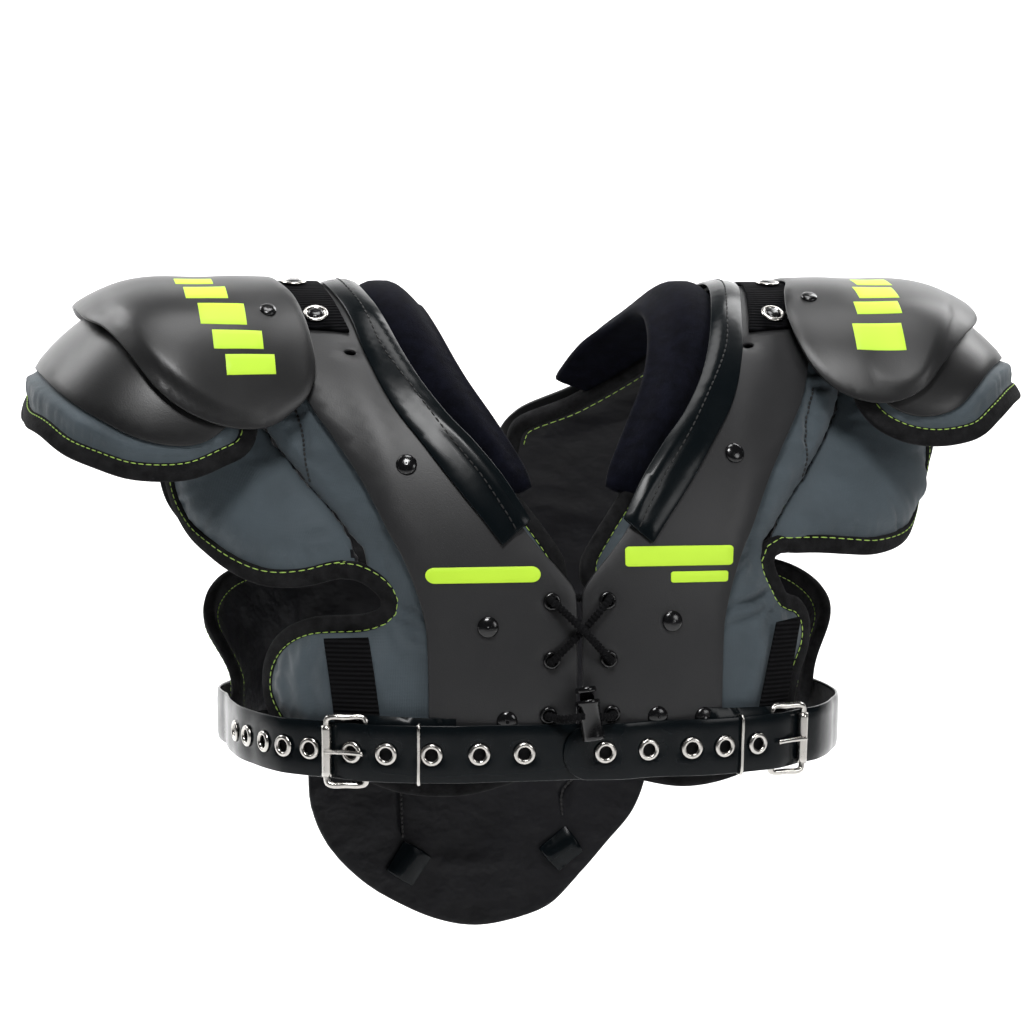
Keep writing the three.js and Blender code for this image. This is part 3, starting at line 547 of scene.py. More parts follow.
# Materials.
class Look:
    """A material whose texture nodes are added one by one."""

    def __init__(self, name, color, roughness, metallic=0.0, **inputs):
        self.material = bpy.data.materials.new(name)
        self.material.use_nodes = True
        self.nodes = self.material.node_tree.nodes
        self.links = self.material.node_tree.links
        self.shader = self.nodes["Principled BSDF"]
        self.shader.inputs["Base Color"].default_value = (*color, 1)
        self.shader.inputs["Roughness"].default_value = roughness
        self.shader.inputs["Metallic"].default_value = metallic
        for key, value in inputs.items():
            self.shader.inputs[key.replace("_", " ")].default_value = value

    def add(self, kind, **values):
        node = self.nodes.new(f"ShaderNode{kind}")
        for key, value in values.items():
            node.inputs[key].default_value = value
        return node

    def place(self, source="Object"):
        """Where a texture lies: in the object's own space, or with UV on the flat cloth."""
        return self.add("TexCoord").outputs[source]

    def grain(self, vector, scale, detail=4.0, rough=0.55):
        node = self.add("TexNoise", Scale=scale, Detail=detail, Roughness=rough)
        self.links.new(vector, node.inputs["Vector"])
        return node.outputs["Fac"]

    def waves(self, vector, scale, direction):
        node = self.add("TexWave", Scale=scale, Distortion=0.0)
        node.bands_direction = direction
        self.links.new(vector, node.inputs["Vector"])
        return node.outputs["Fac"]

    def product(self, a, b):
        node = self.add("Math")
        node.operation = "MULTIPLY"
        self.links.new(a, node.inputs[0])
        self.links.new(b, node.inputs[1])
        return node.outputs[0]

    def bump(self, height, strength, distance):
        node = self.add("Bump", Strength=strength, Distance=distance)
        self.links.new(height, node.inputs["Height"])
        earlier = self.shader.inputs["Normal"].links
        if earlier:
            self.links.new(earlier[0].from_socket, node.inputs["Normal"])
        self.links.new(node.outputs["Normal"], self.shader.inputs["Normal"])

    def tint(self, factor, low, high, socket="Base Color"):
        """Two colours, or two grey values, mixed by a texture."""
        node = self.add("ValToRGB")
        for stop, position, color in zip(node.color_ramp.elements, (0.3, 0.7), (low, high)):
            stop.position = position
            stop.color = (*color, 1)
        self.links.new(factor, node.inputs["Fac"])
        self.links.new(node.outputs["Color"], self.shader.inputs[socket])


def shade(color, factor):
    return tuple(c * factor for c in color)


def grey(value):
    return (value, value, value)


def moulded_plastic(name, color, roughness=0.42, shine=0.35):
    look = Look(name, color, roughness, Specular_IOR_Level=shine)
    fine = look.grain(look.place(), 1400, 2)
    broad = look.grain(look.place(), 14, 3)
    look.tint(broad, shade(color, 0.93), shade(color, 1.07))
    look.tint(broad, grey(roughness - 0.03), grey(roughness + 0.05), "Roughness")
    look.bump(fine, 0.25, 0.0002)
    return look.material


def nylon(name, color, roughness=0.7):
    look = Look(name, color, roughness, Specular_IOR_Level=0.25, Sheen_Weight=0.12,
                Sheen_Roughness=0.5)
    cloth = look.place("UV")
    weave = look.product(look.waves(cloth, 48, "X"), look.waves(cloth, 48, "Y"))
    look.tint(look.grain(look.place(), 38, 3), shade(color, 0.86), shade(color, 1.12))
    look.bump(look.grain(cloth, 9, 4), 0.25, 0.002)
    look.bump(weave, 0.35, 0.0003)
    return look.material


def satin(name, color, roughness=0.45):
    look = Look(name, color, roughness, Specular_IOR_Level=0.18, Sheen_Weight=0.03)
    cloth = look.place("UV")
    soft = look.grain(cloth, 5, 3)
    look.tint(soft, shade(color, 0.8), shade(color, 1.25))
    look.bump(soft, 0.45, 0.005)
    look.bump(look.waves(cloth, 60, "Y"), 0.2, 0.0002)
    return look.material


def felt(name, color, roughness=0.95):
    look = Look(name, color, roughness, Specular_IOR_Level=0.06, Sheen_Weight=0.02,
                Sheen_Roughness=0.4)
    place = look.place()
    look.tint(look.grain(place, 160, 4), shade(color, 0.6), shade(color, 1.5))
    look.bump(look.grain(place, 900, 4, 0.7), 0.6, 0.0006)
    return look.material


def ribbed(name, color, pitch=2.0):
    look = Look(name, color, 0.8, Specular_IOR_Level=0.035)
    cloth = look.place("UV")
    ribs = look.waves(cloth, 31.4 / pitch, "Y")
    look.tint(ribs, shade(color, 0.5), shade(color, 1.4))
    look.bump(ribs, 0.8, 0.0006)
    look.bump(look.grain(cloth, 90, 3), 0.3, 0.0004)
    return look.material


def patent(name, color):
    look = Look(name, color, 0.24, Specular_IOR_Level=0.14)
    broad = look.grain(look.place(), 55, 2)
    look.tint(broad, grey(0.19), grey(0.27), "Roughness")
    look.bump(broad, 0.1, 0.002)
    return look.material


def nickel(name, color):
    look = Look(name, color, 0.22, 1.0)
    wear = look.grain(look.place(), 260, 4)
    look.tint(wear, grey(0.16), grey(0.3), "Roughness")
    look.bump(wear, 0.06, 0.0004)
    return look.material


def thread(name, color):
    look = Look(name, color, 0.7)
    look.tint(look.grain(look.place(), 1500, 2), shade(color, 0.75), shade(color, 1.15))
    return look.material


NEON = (0.50, 0.78, 0.04)
PLATE_GREY = moulded_plastic("plate_plastic", (0.016, 0.016, 0.017), 0.44)
CAP_BLACK = moulded_plastic("cap_plastic", (0.008, 0.008, 0.0085), 0.38, 0.4)
GLOSS_BLACK = moulded_plastic("gloss_black", (0.003, 0.003, 0.0035), 0.16, 0.5)
SLATE = nylon("slate_nylon", (0.050, 0.065, 0.076))
INNER_SATIN = satin("black_satin", (0.004, 0.004, 0.0055))
BINDING = felt("black_binding", (0.010, 0.010, 0.0105))
KNIT = felt("navy_knit", (0.0024, 0.0027, 0.0056))
WEBBING = ribbed("black_webbing", (0.0022, 0.0022, 0.0028))
STRAP_WEB = ribbed("side_strap_web", (0.005, 0.005, 0.0055), 2.2)
PATENT = patent("black_patent", (0.0025, 0.004, 0.005))
NICKEL = nickel("nickel", (0.56, 0.54, 0.51))
GREEN_THREAD = thread("green_thread", (0.36, 0.56, 0.10))
BLACK_THREAD = thread("black_thread", (0.006, 0.006, 0.006))
CORD_BLACK = felt("cord_black", (0.004, 0.004, 0.0045), 0.8)
NEON_PRINT = moulded_plastic("neon_print", NEON, 0.5)


# Padded cloth.
def coords(mesh):
    flat = np.empty(len(mesh.vertices) * 3)
    mesh.vertices.foreach_get("co", flat)
    return flat.reshape(-1, 3)


def set_coords(mesh, points):
    mesh.vertices.foreach_set("co", np.asarray(points, float).ravel())
    mesh.update()


def baked(obj):
    """The object's mesh with its modifiers applied."""
    bpy.context.view_layer.update()
    graph = bpy.context.evaluated_depsgraph_get()
    return bpy.data.meshes.new_from_object(obj.evaluated_get(graph))


def near_path(points, path, reach):
    tree = KDTree(len(path))
    for k, p in enumerate(path):
        tree.insert(p, k)
    tree.balance()
    return [k for k, p in enumerate(points) if tree.find(p)[2] < reach]


HELD_REACH, MOST_PUFF, VOXEL = 0.011, 0.004, 0.004
AIR_PRESSURE, AIR_FRAMES = 4.0, 20


def puff(obj, held_line):
    """Blow a pad up as cloth with its rim held; no point moves further than MOST_PUFF."""
    scene = bpy.context.scene
    work = bpy.data.objects.new("pad_at_work", obj.data.copy())
    scene.collection.objects.link(work)
    even = work.modifiers.new("even", "REMESH")
    even.mode, even.voxel_size = "VOXEL", VOXEL
    work.data = baked(work)
    work.modifiers.clear()
    start = coords(work.data)
    held = work.vertex_groups.new(name="held")
    held.add(near_path(start, held_line, HELD_REACH), 1.0, "REPLACE")
    air = work.modifiers.new("air", "CLOTH")
    air.settings.effector_weights.gravity = 0
    air.settings.use_pressure = True
    air.settings.uniform_pressure_force = AIR_PRESSURE
    air.settings.vertex_group_mass = "held"
    air.point_cache.frame_start, air.point_cache.frame_end = 1, AIR_FRAMES
    for frame_number in range(1, AIR_FRAMES + 1):
        scene.frame_set(frame_number)
    blown = baked(work)
    step = coords(blown) - start
    far = np.linalg.norm(step, axis=1, keepdims=True)
    set_coords(blown, start + step * np.minimum(1, MOST_PUFF / np.maximum(far, 1e-9)))
    scene.frame_set(1)
    work.modifiers.clear()
    work.data = blown
    work.modifiers.new("fine", "SUBSURF").levels = 1
    fine = baked(work)
    bpy.data.objects.remove(work)
    fine.materials.clear()
    for material in obj.data.materials:
        fine.materials.append(material)
    obj.data = fine
    for face in fine.polygons:
        face.use_smooth = True


def chart_places(points, chart, loop, cell, middle):
    """Chart coordinates, side and distance from the rim of points near a sheet."""
    flat, faces = triangles([anticlockwise(loop)], cell)
    u, v = (flat / chart.size).T
    face_points = chart.at(u, v, np.full(len(u), middle))
    tree = BVHTree.FromPolygons([tuple(p) for p in face_points], [tuple(map(int, f)) for f in faces])
    ups = chart.normal(u, v)
    places = np.empty((len(points), 2))
    side = np.empty(len(points))
    for k, p in enumerate(points):
        spot, _, index, _ = tree.find_nearest(p)
        a, b, c = faces[index]
        weight = barycentric(spot, face_points[a], face_points[b], face_points[c])
        places[k] = weight @ flat[[a, b, c]]
        side[k] = (p - np.array(spot)) @ ups[a]
    return places, side, edge_distance(places, [loop])


def barycentric(p, a, b, c):
    e0, e1, e2 = b - a, c - a, np.array(p) - a
    d00, d01, d11 = e0 @ e0, e0 @ e1, e1 @ e1
    d20, d21 = e2 @ e0, e2 @ e1
    scale = max(d00 * d11 - d01 * d01, 1e-18)
    s, t = (d11 * d20 - d01 * d21) / scale, (d00 * d21 - d01 * d20) / scale
    return np.array([1 - s - t, s, t])


def press(obj, chart, loop, middle, relief, lining=None, ceiling=None, inner=None, cell=6.0):
    """Add relief to the faces of a pad, keep it under what lies on it and line its inside."""
    mesh = obj.data
    points = coords(mesh)
    places, side, away = chart_places(points, chart, loop, cell, middle)
    u, v = (places / chart.size).T
    out = middle + side / MM
    raised = out + relief(u, v, away) * smooth((away - 6) / 4)
    if ceiling:
        raised = np.minimum(raised, np.maximum(ceiling(u, v), 0.6 * out))
    lowered = out - inner(u, v, away) if inner else out
    amount = np.where(side > 0, raised, lowered) - out
    set_coords(mesh, points + chart.normal(u, v) * amount[:, None] * MM)
    if mesh.uv_layers:
        mesh.uv_layers.remove(mesh.uv_layers[0])
    layer = mesh.uv_layers.new(name="cloth")
    index = np.empty(len(mesh.loops), int)
    mesh.loops.foreach_get("vertex_index", index)
    layer.data.foreach_set("uv", (places[index] / 100).ravel())
    if lining:
        mesh.materials.append(lining)
        for face in mesh.polygons:
            if side[list(face.vertices)].mean() < -1.2 * MM:
                face.material_index = 1


def cover(loop, size, height, rise=7.0, over=9.0):
    """How high a pad may stand under a part with this outline, and beside it."""
    def ceiling(u, v):
        flat = np.stack([u, v], 1) * size
        gap = np.where(inside(flat, [loop]), 0, edge_distance(flat, [loop]))
        return height + rise * smooth(gap / over)
    return ceiling


def gathers(loop, seed, height=0.7, pitch=5.0, reach=13.0, start=7.0):
    """Small puckers that run in from a sewn rim."""
    steps = run_of(loop)

    def relief(u, v, away):
        flat = np.stack([u, v], 1) * DEGREE_SIZE
        result = np.zeros(len(flat))
        near = np.flatnonzero(away < start + 2 * reach)
        tree = KDTree(len(loop))
        for k, p in enumerate(loop):
            tree.insert((*p, 0), k)
        tree.balance()
        for k in near:
            spot = tree.find((*flat[k], 0))[1]
            along = loop[(spot + 1) % len(loop)] - loop[spot]
            place = steps[spot] + (flat[k] - loop[spot]) @ along / max(np.hypot(*along), 1e-9)
            wave = noise.noise(Vector((place / pitch, seed * 5.0, away[k] / 30)))
            result[k] = height * wave * math.exp(-(max(away[k] - start, 0) / reach)**2)
        return result
    return relief


def ridge(line, size, width, height):
    """A fold along a flat line, as relief in mm."""
    path = np.array(line, float) * size

    def relief(u, v, away):
        points = np.stack([u, v], 1) * size
        best = np.full(len(points), 1e9)
        share = np.zeros(len(points))
        for k, (p, q) in enumerate(zip(path, path[1:])):
            d = q - p
            t = np.clip(((points - p) @ d) / (d @ d), 0, 1)
            gap = np.hypot(*(points - p - t[:, None] * d).T)
            nearer = gap < best
            best = np.where(nearer, gap, best)
            share = np.where(nearer, (k + t) / (len(path) - 1), share)
        return height * np.exp(-(best / width)**2) * (0.35 + 0.65 * np.sin(math.pi * share))
    return relief


def crumple(seed, scale, height):
    """Soft unevenness of stuffed cloth."""
    def relief(u, v, away):
        shift = Vector((seed * 7.3, seed * 3.1, seed))
        values = [noise.noise(Vector((a * DEGREE * scale, b * scale, 0)) + shift)
                  for a, b in zip(u, v)]
        return height * np.array(values) * smooth(away / 14)
    return relief


def together(*reliefs):
    return lambda u, v, away: sum(relief(u, v, away) for relief in reliefs)


def crown(thick, rim, roll, band=8.0, crease=None):
    """The outer face of a pad: level under its binding, then rising in a round.
    Along a crease there is no binding and the round starts at once."""
    def top(away, u, v):
        height = thick(u, v) if callable(thick) else thick
        edge = rim(u, v) if callable(rim) else rim
        wide = band
        if crease is not None:
            flat = np.stack([u, v], 1) * DEGREE_SIZE
            wide = band * smooth((open_distance(flat, crease) - 8) / 10)
        return edge + (height - edge) * np.sin(np.clip((away - wide) / roll, 0, 1) * math.pi / 2)
    return top


def surface_out(objects, chart, reach=60.0):
    """A function that gives how far out of the chart the outer face of objects lies."""
    trees = [BVHTree.FromPolygons([tuple(p) for p in coords(obj.data)],
                                  [tuple(f.vertices) for f in obj.data.polygons])
             for obj in objects]

    def out(u, v, fallback=0.0):
        feet = chart.at(u, v, 0.0)
        ups = chart.normal(u, v)
        result = np.full(len(feet), float(fallback))
        for k, (foot, up) in enumerate(zip(feet, ups)):
            start = Vector(foot + up * reach * MM)
            hits = [tree.ray_cast(start, Vector(-up), 2 * reach * MM) for tree in trees]
            found = [hit[3] for hit in hits if hit[0] is not None]
            if found:
                result[k] = reach - min(found) / MM
        return result
    return out


def binding(name, chart, outline, part, top, bottom, width=9.5):
    """A tape folded over the rim of a pad along part of its outline, or all round it."""
    closed = part is None
    reach = width / 2 - 0.8
    line = inset(outline, reach) if closed else hem_line(outline, part, reach)
    u, v = (line / chart.size).T
    high, low = top(u, v) + 0.5, bottom(u, v) - 0.5
    path = chart.at(u, v, (high + low) / 2)
    ups = chart.normal(u, v)
    sides = 16
    turns = np.radians(np.arange(sides) * 360 / sides)
    across = unit(np.cross(heading_of(path, closed), ups))
    half = (high - low) / 2
    round_out = np.sign(np.cos(turns)) * np.abs(np.cos(turns))**0.7
    round_up = np.sign(np.sin(turns)) * np.abs(np.sin(turns))**0.5
    legs = run_of(path) / MM
    ends = np.minimum(legs, legs[-1] - legs)
    slim = np.ones(len(path)) if closed else 0.6 + 0.4 * smooth(ends / 5)
    wide = round_out[None, :] * width / 2 * slim[:, None]
    rings = (path[:, None] + across[:, None] * wide[..., None] * MM
             + ups[:, None] * (round_up[None, :] * half[:, None] * MM)[..., None])
    faces = tube_faces(len(path), sides, closed)
    return make(name, rings.reshape(-1, 3), faces, BINDING, strip_uv(path, sides, 1.5))


# Outlines: angle, tape and 1 for a sharp corner.
PLATE = [
    [-0.9, -262, 1], [-0.9, -184], [-3.2, -175], [-6.4, -165], [-9.6, -153], [-12.6, -136],
    [-15.9, -116], [-19.2, -101], [-22.2, -78], [-23.6, -40], [-24.2, 0],
    [-23.4, 35], [-20.5, 62], [-13, 88], [-4, 104], [-1.2, 116], [-1.2, 258, 1], [-26, 258, 1],
    [-27, 200], [-29, 165], [-33.4, 130], [-37, 95], [-38, 60], [-37.5, 30],
    [-37, 0], [-37.5, -30], [-38, -60], [-37.8, -90], [-36.5, -104], [-33.3, -130],
    [-30.6, -154], [-28.7, -167], [-26.8, -186], [-25.9, -200], [-25.8, -246], [-25.8, -262, 1],
]
PAD_NECK = [
    [-9, -274, 1], [-8, -240], [-6, -196], [-1.5, -178], [-1.6, -168], [-7.8, -140],
    [-12.6, -119],
    [-17, -102], [-19.6, -85], [-21.7, -60], [-22.4, -35], [-22.6, 0], [-21.8, 35], [-19, 62],
    [-11.5, 88], [-2.5, 104], [-1.4, 118], [-1.4, 268, 1],
]
BACK_WING = [
    [-30, 273], [-55, 270], [-80, 264], [-87, 252], [-89.5, 234], [-87, 214], [-80, 198],
    [-70, 187], [-58, 182], [-46, 184], [-38, 186], [-34.8, 178], [-36.2, 166],
]
SHOULDER_EDGE = [
    [-38.6, 150], [-47.2, 103], [-45.8, 60], [-40.8, 30], [-37.8, 0], [-40.8, -30],
    [-45.8, -60], [-47.2, -103], [-38.6, -150],
]
FRONT_WING = {
    LEFT: [
        [-36.2, -166], [-36.4, -174], [-34.4, -184], [-34.2, -190], [-37.5, -194],
        [-48.8, -197], [-55.7, -204], [-60.3, -213], [-62.9, -223], [-63.3, -237], [-60, -250],
        [-52, -264], [-40, -273], [-31, -281], [-20, -282],
    ],
    RIGHT: [
        [-36.2, -166], [-38.6, -173], [-41.3, -184], [-42.4, -188], [-46, -191],
        [-49.1, -198], [-50.4, -206], [-50, -216], [-47.5, -228], [-46, -240], [-45, -255],
        [-40, -269], [-31, -278], [-21, -281],
    ],
}
# Where the tape turns from the arm pad down into the armhole.
ARM_TURN = {LEFT: [[-42, -176.5], [-38.2, -176.4]], RIGHT: [[-43, -167.2], [-38.8, -168]]}
DELTOID_LOBE = {
    LEFT: [
        [-37.6, -160], [-37, -170], [-38.4, -175], [-41.5, -176], [-46, -179], [-51.2, -180],
        [-55.4, -178], [-60.2, -172], [-65, -163], [-71.3, -147], [-74, -131], [-73.5, -112],
        [-66, -80],
    ],
    RIGHT: [
        [-37.6, -160], [-37.4, -168], [-40.8, -167], [-47.4, -167], [-53.2, -167.5],
        [-58, -167], [-66, -160], [-73, -148], [-79, -132], [-80, -114], [-77, -98],
        [-68, -75],
    ],
}
DELTOID_TOP = [
    [-56, -40], [-50, -12], [-50, 12], [-56, 40], [-66, 80], [-72, 110], [-73, 132], [-69, 148],
    [-62, 164], [-54, 174], [-45, 176], [-38.6, 172], [-37.6, 162],
]
DELTOID_SEAM = [
    [-38.9, 150], [-47.7, 103], [-46.3, 60], [-41.4, 30], [-38.4, 0], [-41.4, -30],
    [-46.3, -60], [-47.7, -103], [-38.9, -150],
]
STRIP = [
    [-12.9, -162, 1], [-18.7, -137], [-22.2, -119], [-25.8, -95], [-27.1, -66], [-26.8, -44],
    [-27.2, 0], [-26.6, 35], [-23.6, 64], [-18.5, 84], [-15, 93, 1], [-11, 85, 1], [-14.5, 76],
    [-19.2, 60], [-22.4, 35], [-23.2, 0], [-22.6, -40], [-21.4, -76], [-18.5, -100],
    [-15.2, -115], [-11.3, -133], [-8.1, -151, 1],
]
STRIP_STITCHES = [
    [-10.6, -155], [-14.8, -132], [-19.2, -110], [-22.0, -90], [-24.4, -66], [-24.7, -40],
    [-25.2, 0], [-24.6, 35], [-21.4, 62], [-17, 79], [-13.6, 88],
]
ROLL = [
    [-12.6, -136, 1], [-15.4, -118], [-19, -102], [-21.6, -85], [-24, -60], [-24.7, -35],
    [-24.9, 0], [-24.1, 35], [-21.2, 60], [-14.6, 82, 1], [-9, 74, 1], [-11, 50], [-13.8, 30],
    [-14.8, 0], [-15, -40], [-13.9, -72], [-11.2, -98], [-7.8, -124], [-7.2, -131, 1],
]
FLAP = [
    [-40, 222, 1], [-43, 262], [-43, 300], [-42.5, 316], [-38.9, 338], [-30.5, 362], [-22, 377],
    [-12.9, 388], [-5, 392], [4, 389], [11.4, 382], [17.3, 367], [23.8, 347], [29.5, 328],
    [33, 300], [34, 262], [33, 222, 1],
]
FLAP_TABS = {
    LEFT: [[-20.6, 343, 1], [-14.9, 353, 1], [-19.1, 368, 1], [-24.7, 358, 1]],
    RIGHT: [[15, 338, 1], [18.6, 352, 1], [13.7, 363, 1], [9.5, 350, 1]],
}
SIDE_STRAPS = {
    LEFT: [[-43.4, -205, 1], [-35.7, -204, 1], [-33, -272, 1], [-40.8, -272, 1]],
    RIGHT: [[-42.2, -199, 1], [-36.8, -201, 1], [-31.4, -272, 1], [-37.6, -272, 1]],
}
WEBBING_OUTLINE = [[-28, -52, 1], [-28, 58, 1], [-37.4, 58, 1], [-37.4, -46, 1]]

# Outlines on the shoulder dome: tape, angle, positive in front.
UPPER_CAP = {
    LEFT: [
        [111, 14], [108, 27], [102, 35], [83, 59], [72, 66], [55, 71], [40, 73], [28, 72.5],
        [18, 69], [9, 64], [5, 56], [6, 45], [10, 30], [16, 14],
    ],
    RIGHT: [
        [108, 16], [104, 32], [90, 45], [79, 54], [68, 62], [54, 66], [40, 66.5], [27, 64],
        [16, 58], [9, 49], [6, 38], [9, 25], [15, 12],
    ],
}
LOWER_CAP = {
    LEFT: [
        [143, 8], [141, 24], [134, 42], [124, 54], [107, 66], [95, 72], [82, 75.5], [69, 76.5],
        [58, 75], [46, 69], [37, 55],
    ],
    RIGHT: [
        [136, 8], [133, 24], [122, 38], [110, 48], [97, 59], [84, 67], [72, 69.5], [60, 69],
        [48, 65], [38, 52],
    ],
}
CAP_PAD = {
    LEFT: [
        [164, 10], [165, 26], [161, 40], [148, 57], [134, 70], [116, 79], [99, 85], [82, 87],
        [67, 86.5], [51, 83], [38, 79], [33, 70], [35, 50],
    ],
    RIGHT: [
        [158, 10], [154, 28], [144, 42], [129, 55], [114, 66], [101, 74], [87, 77.5],
        [73, 78.5], [56, 76.5], [43, 72], [35, 64], [35, 48],
    ],
}


def for_side(side, rows):
    """Rows as given on the left, mirrored on the right."""
    return [[row[0] * -side, *row[1:]] for row in rows]


def both_ways(rows):
    """Rows of the front half, then the same mirrored to the back half."""
    return [*rows, *[[u, -v, *rest] for u, v, *rest in reversed(rows)]]


def body_outline(side, rows, step=3.0):
    return rounded(for_side(side, rows), BODY.size, step)


def dome_outline(side, rows, step=3.0):
    return rounded(both_ways(rows), DOMES[side].size, step)


def box_rows(u0, u1, v0, v1):
    return [[u0, v0, 1], [u1, v0, 1], [u1, v1, 1], [u0, v1, 1]]


def open_line(side, rows, step=3.0):
    return rounded(for_side(side, rows), BODY.size, step, closed=False)


def ring_hole(chart, u, v, radius, sides=20):
    a = np.radians(np.arange(sides) * 360 / sides)
    return np.array([u, v]) * chart.size + radius * np.stack([np.cos(a), np.sin(a)], 1)


# Plates.
LACE_HOLES = [[5.0, -188], [5.2, -215], [5.8, -241]]
LACE_HOLE = 2.7
SMALL_HOLES = {LEFT: (-29.1, -64), RIGHT: (28.1, -60)}
CREST = [[-30, -40], [-29.8, -80], [-29.2, -112], [-28.6, -150], [-26.5, -172]]


def plate_face(side):
    """The plate lifts a little along its outer margin, where it is moulded over."""
    crest = ridge(for_side(side, CREST), BODY.size, 5, 1.3)

    def top(away, u, v):
        margin = 0.5 * (1 - smooth(away / 2.4))
        return PLATE_OUT - 0.4 + crest(u, v, away) - margin
    return top


def plates():
    for side, word in SIDES:
        holes = [ring_hole(BODY, side * u, v, LACE_HOLE) for u, v in LACE_HOLES]
        holes.append(ring_hole(BODY, *SMALL_HOLES[side], 2.2))
        slab(f"plate_shell_{word}", BODY, [body_outline(side, PLATE), *holes], 5.0,
             plate_face(side), level(PLATE_IN), PLATE_GREY, nodes=[f"arch_plate_{word}"],
             slot="plate_plastic")


# Plain neon labels: angle and tape of the middle, half width and half height in mm, corner.
CHEST_LABELS = [
    ["left", -16.2, -175.3, 21.5, 3.5, 3.4], ["right_upper", 17.6, -168, 21.5, 4.4, 1.5],
    ["right_lower", 21.2, -177.8, 11.5, 2.4, 1.0],
]


def dense(line, step=3.0):
    """The same closed line with more points."""
    rows = [[*p, 1] for p in line]
    return rounded(rows, np.ones(2), step)


def chest_labels():
    for word, u, v, half_u, half_v, corner in CHEST_LABELS:
        turns = np.radians(np.arange(0, 360, 9) + 4.5)
        centre = np.stack([np.sign(np.cos(turns)) * (half_u - corner),
                           np.sign(np.sin(turns)) * (half_v - corner)], 1)
        line = np.array([u, v]) * BODY.size + centre + corner * np.stack(
            [np.cos(turns), np.sin(turns)], 1)
        face = plate_face(RIGHT if u > 0 else LEFT)
        slab(f"chest_label_{word}", BODY, [dense(line)], 3.0,
             lambda away, a, b: face(away + 10, a, b) + 0.5,
             lambda away, a, b: face(away + 10, a, b) - 0.2, NEON_PRINT)


# Body pads and arm pads.
def pad_thickness(u, v):
    return PAD - 8.4 * smooth((np.abs(u) - 45) / 28)


# Folds beside the plate: line, half width, height.
WING_FOLDS = {
    LEFT: [
        ([[-36, -196], [-35, -214], [-37, -240]], 4.0, 2.7),
        ([[-40, -200], [-44, -222], [-43, -246]], 5.0, 2.4),
        ([[-48, -203], [-50, -226], [-48, -246]], 4.5, 2.1),
        ([[-55, -210], [-56, -228], [-54, -244]], 4.0, 1.8),
        ([[-34, -187], [-30, -192], [-26.5, -194]], 2.2, -3.3),
        ([[-33, -194], [-29.5, -199], [-26.5, -201]], 2.2, -3.0),
        ([[-31, -202], [-28.5, -206], [-26, -208]], 2.0, -2.4),
    ],
    RIGHT: [
        ([[-33, -196], [-34, -215], [-32, -238]], 4.0, 2.4),
        ([[-39, -198], [-41, -218], [-39, -240]], 5.0, 1.8),
        ([[-38, -186], [-33, -190], [-27, -193]], 2.2, -3.3),
        ([[-37, -194], [-32, -199], [-27, -202]], 2.2, -2.7),
    ],
}


def wing_covers(side):
    """What lies on a body pad: the plate, the ribbed strap and the belt."""
    size = BODY.size
    plate = cover(body_outline(side, PLATE), size, PLATE_IN - 0.4)
    strap = cover(body_outline(side, SIDE_STRAPS[side]), size, PAD - 0.1, 4.0, 4.0)

    def ceiling(u, v):
        round_chest = side * np.where(v < 0, np.abs(u), 180 - np.abs(u))
        belt = np.minimum(table_at(BELTS[side]["inner"], round_chest), 19.4) - 0.5
        gap = np.maximum(np.abs(np.abs(v) - abs(BELT_MIDDLE)) - BELT_HALF, 0)
        return np.minimum(np.minimum(plate(u, v), strap(u, v)), belt + 7 * smooth(gap / 6))
    return ceiling


SHOULDER_SEAM = [[-40.6, -80], [-40.7, -97], [-41.8, -113], [-42.9, -130]]


def pad_rim(u, v):
    return np.maximum(0.42 * pad_thickness(u, v), 4.8)


def armhole(side):
    """The line of the armhole's binding, from the arm pad down round the front wing."""
    return [*ARM_TURN[side], *FRONT_WING[side][2:], PAD_NECK[0]]


def chest_pad(side, word, line):
    cloth = short_of(line, open_line(side, SHOULDER_EDGE))
    face = crown(lambda u, v: pad_thickness(u, v) - 2.0, pad_rim, 13, 8.0,
                 open_line(side, SHOULDER_EDGE))
    obj = slab(f"chest_pad_{word}", WINGS, [cloth], 6.0, face, level(0.4), SLATE,
               nodes=[f"body_pad_{word}"], slot="pad_cloth")
    u, v = (line / WINGS.size).T
    puff(obj, WINGS.at(u, v, pad_rim(u, v) / 2))
    folds = [ridge(for_side(side, path), BODY.size, width, height)
             for path, width, height in WING_FOLDS[side]]
    seam = ridge(for_side(side, SHOULDER_SEAM), BODY.size, 2.4, -3.2)
    relief = together(crumple(side + 3, 0.03, 1.4), gathers(line, side + 5, 2.2), seam, *folds)
    press(obj, WINGS, cloth, 5.5, relief, INNER_SATIN, wing_covers(side),
          crumple(side + 12, 0.05, 1.2))
    return obj


def chest_bindings(side, word, line):
    bound = []
    for place, part, width in (("neck", PAD_NECK, 8.0), ("back", BACK_WING, 9.5),
                               ("wing", armhole(side), 9.5)):
        bound.append(binding(f"{place}_binding_{word}", WINGS, line, open_line(side, part),
                             lambda a, b: pad_rim(a, b) + 1.0,
                             lambda a, b: np.zeros(len(a)), width))
    return bound


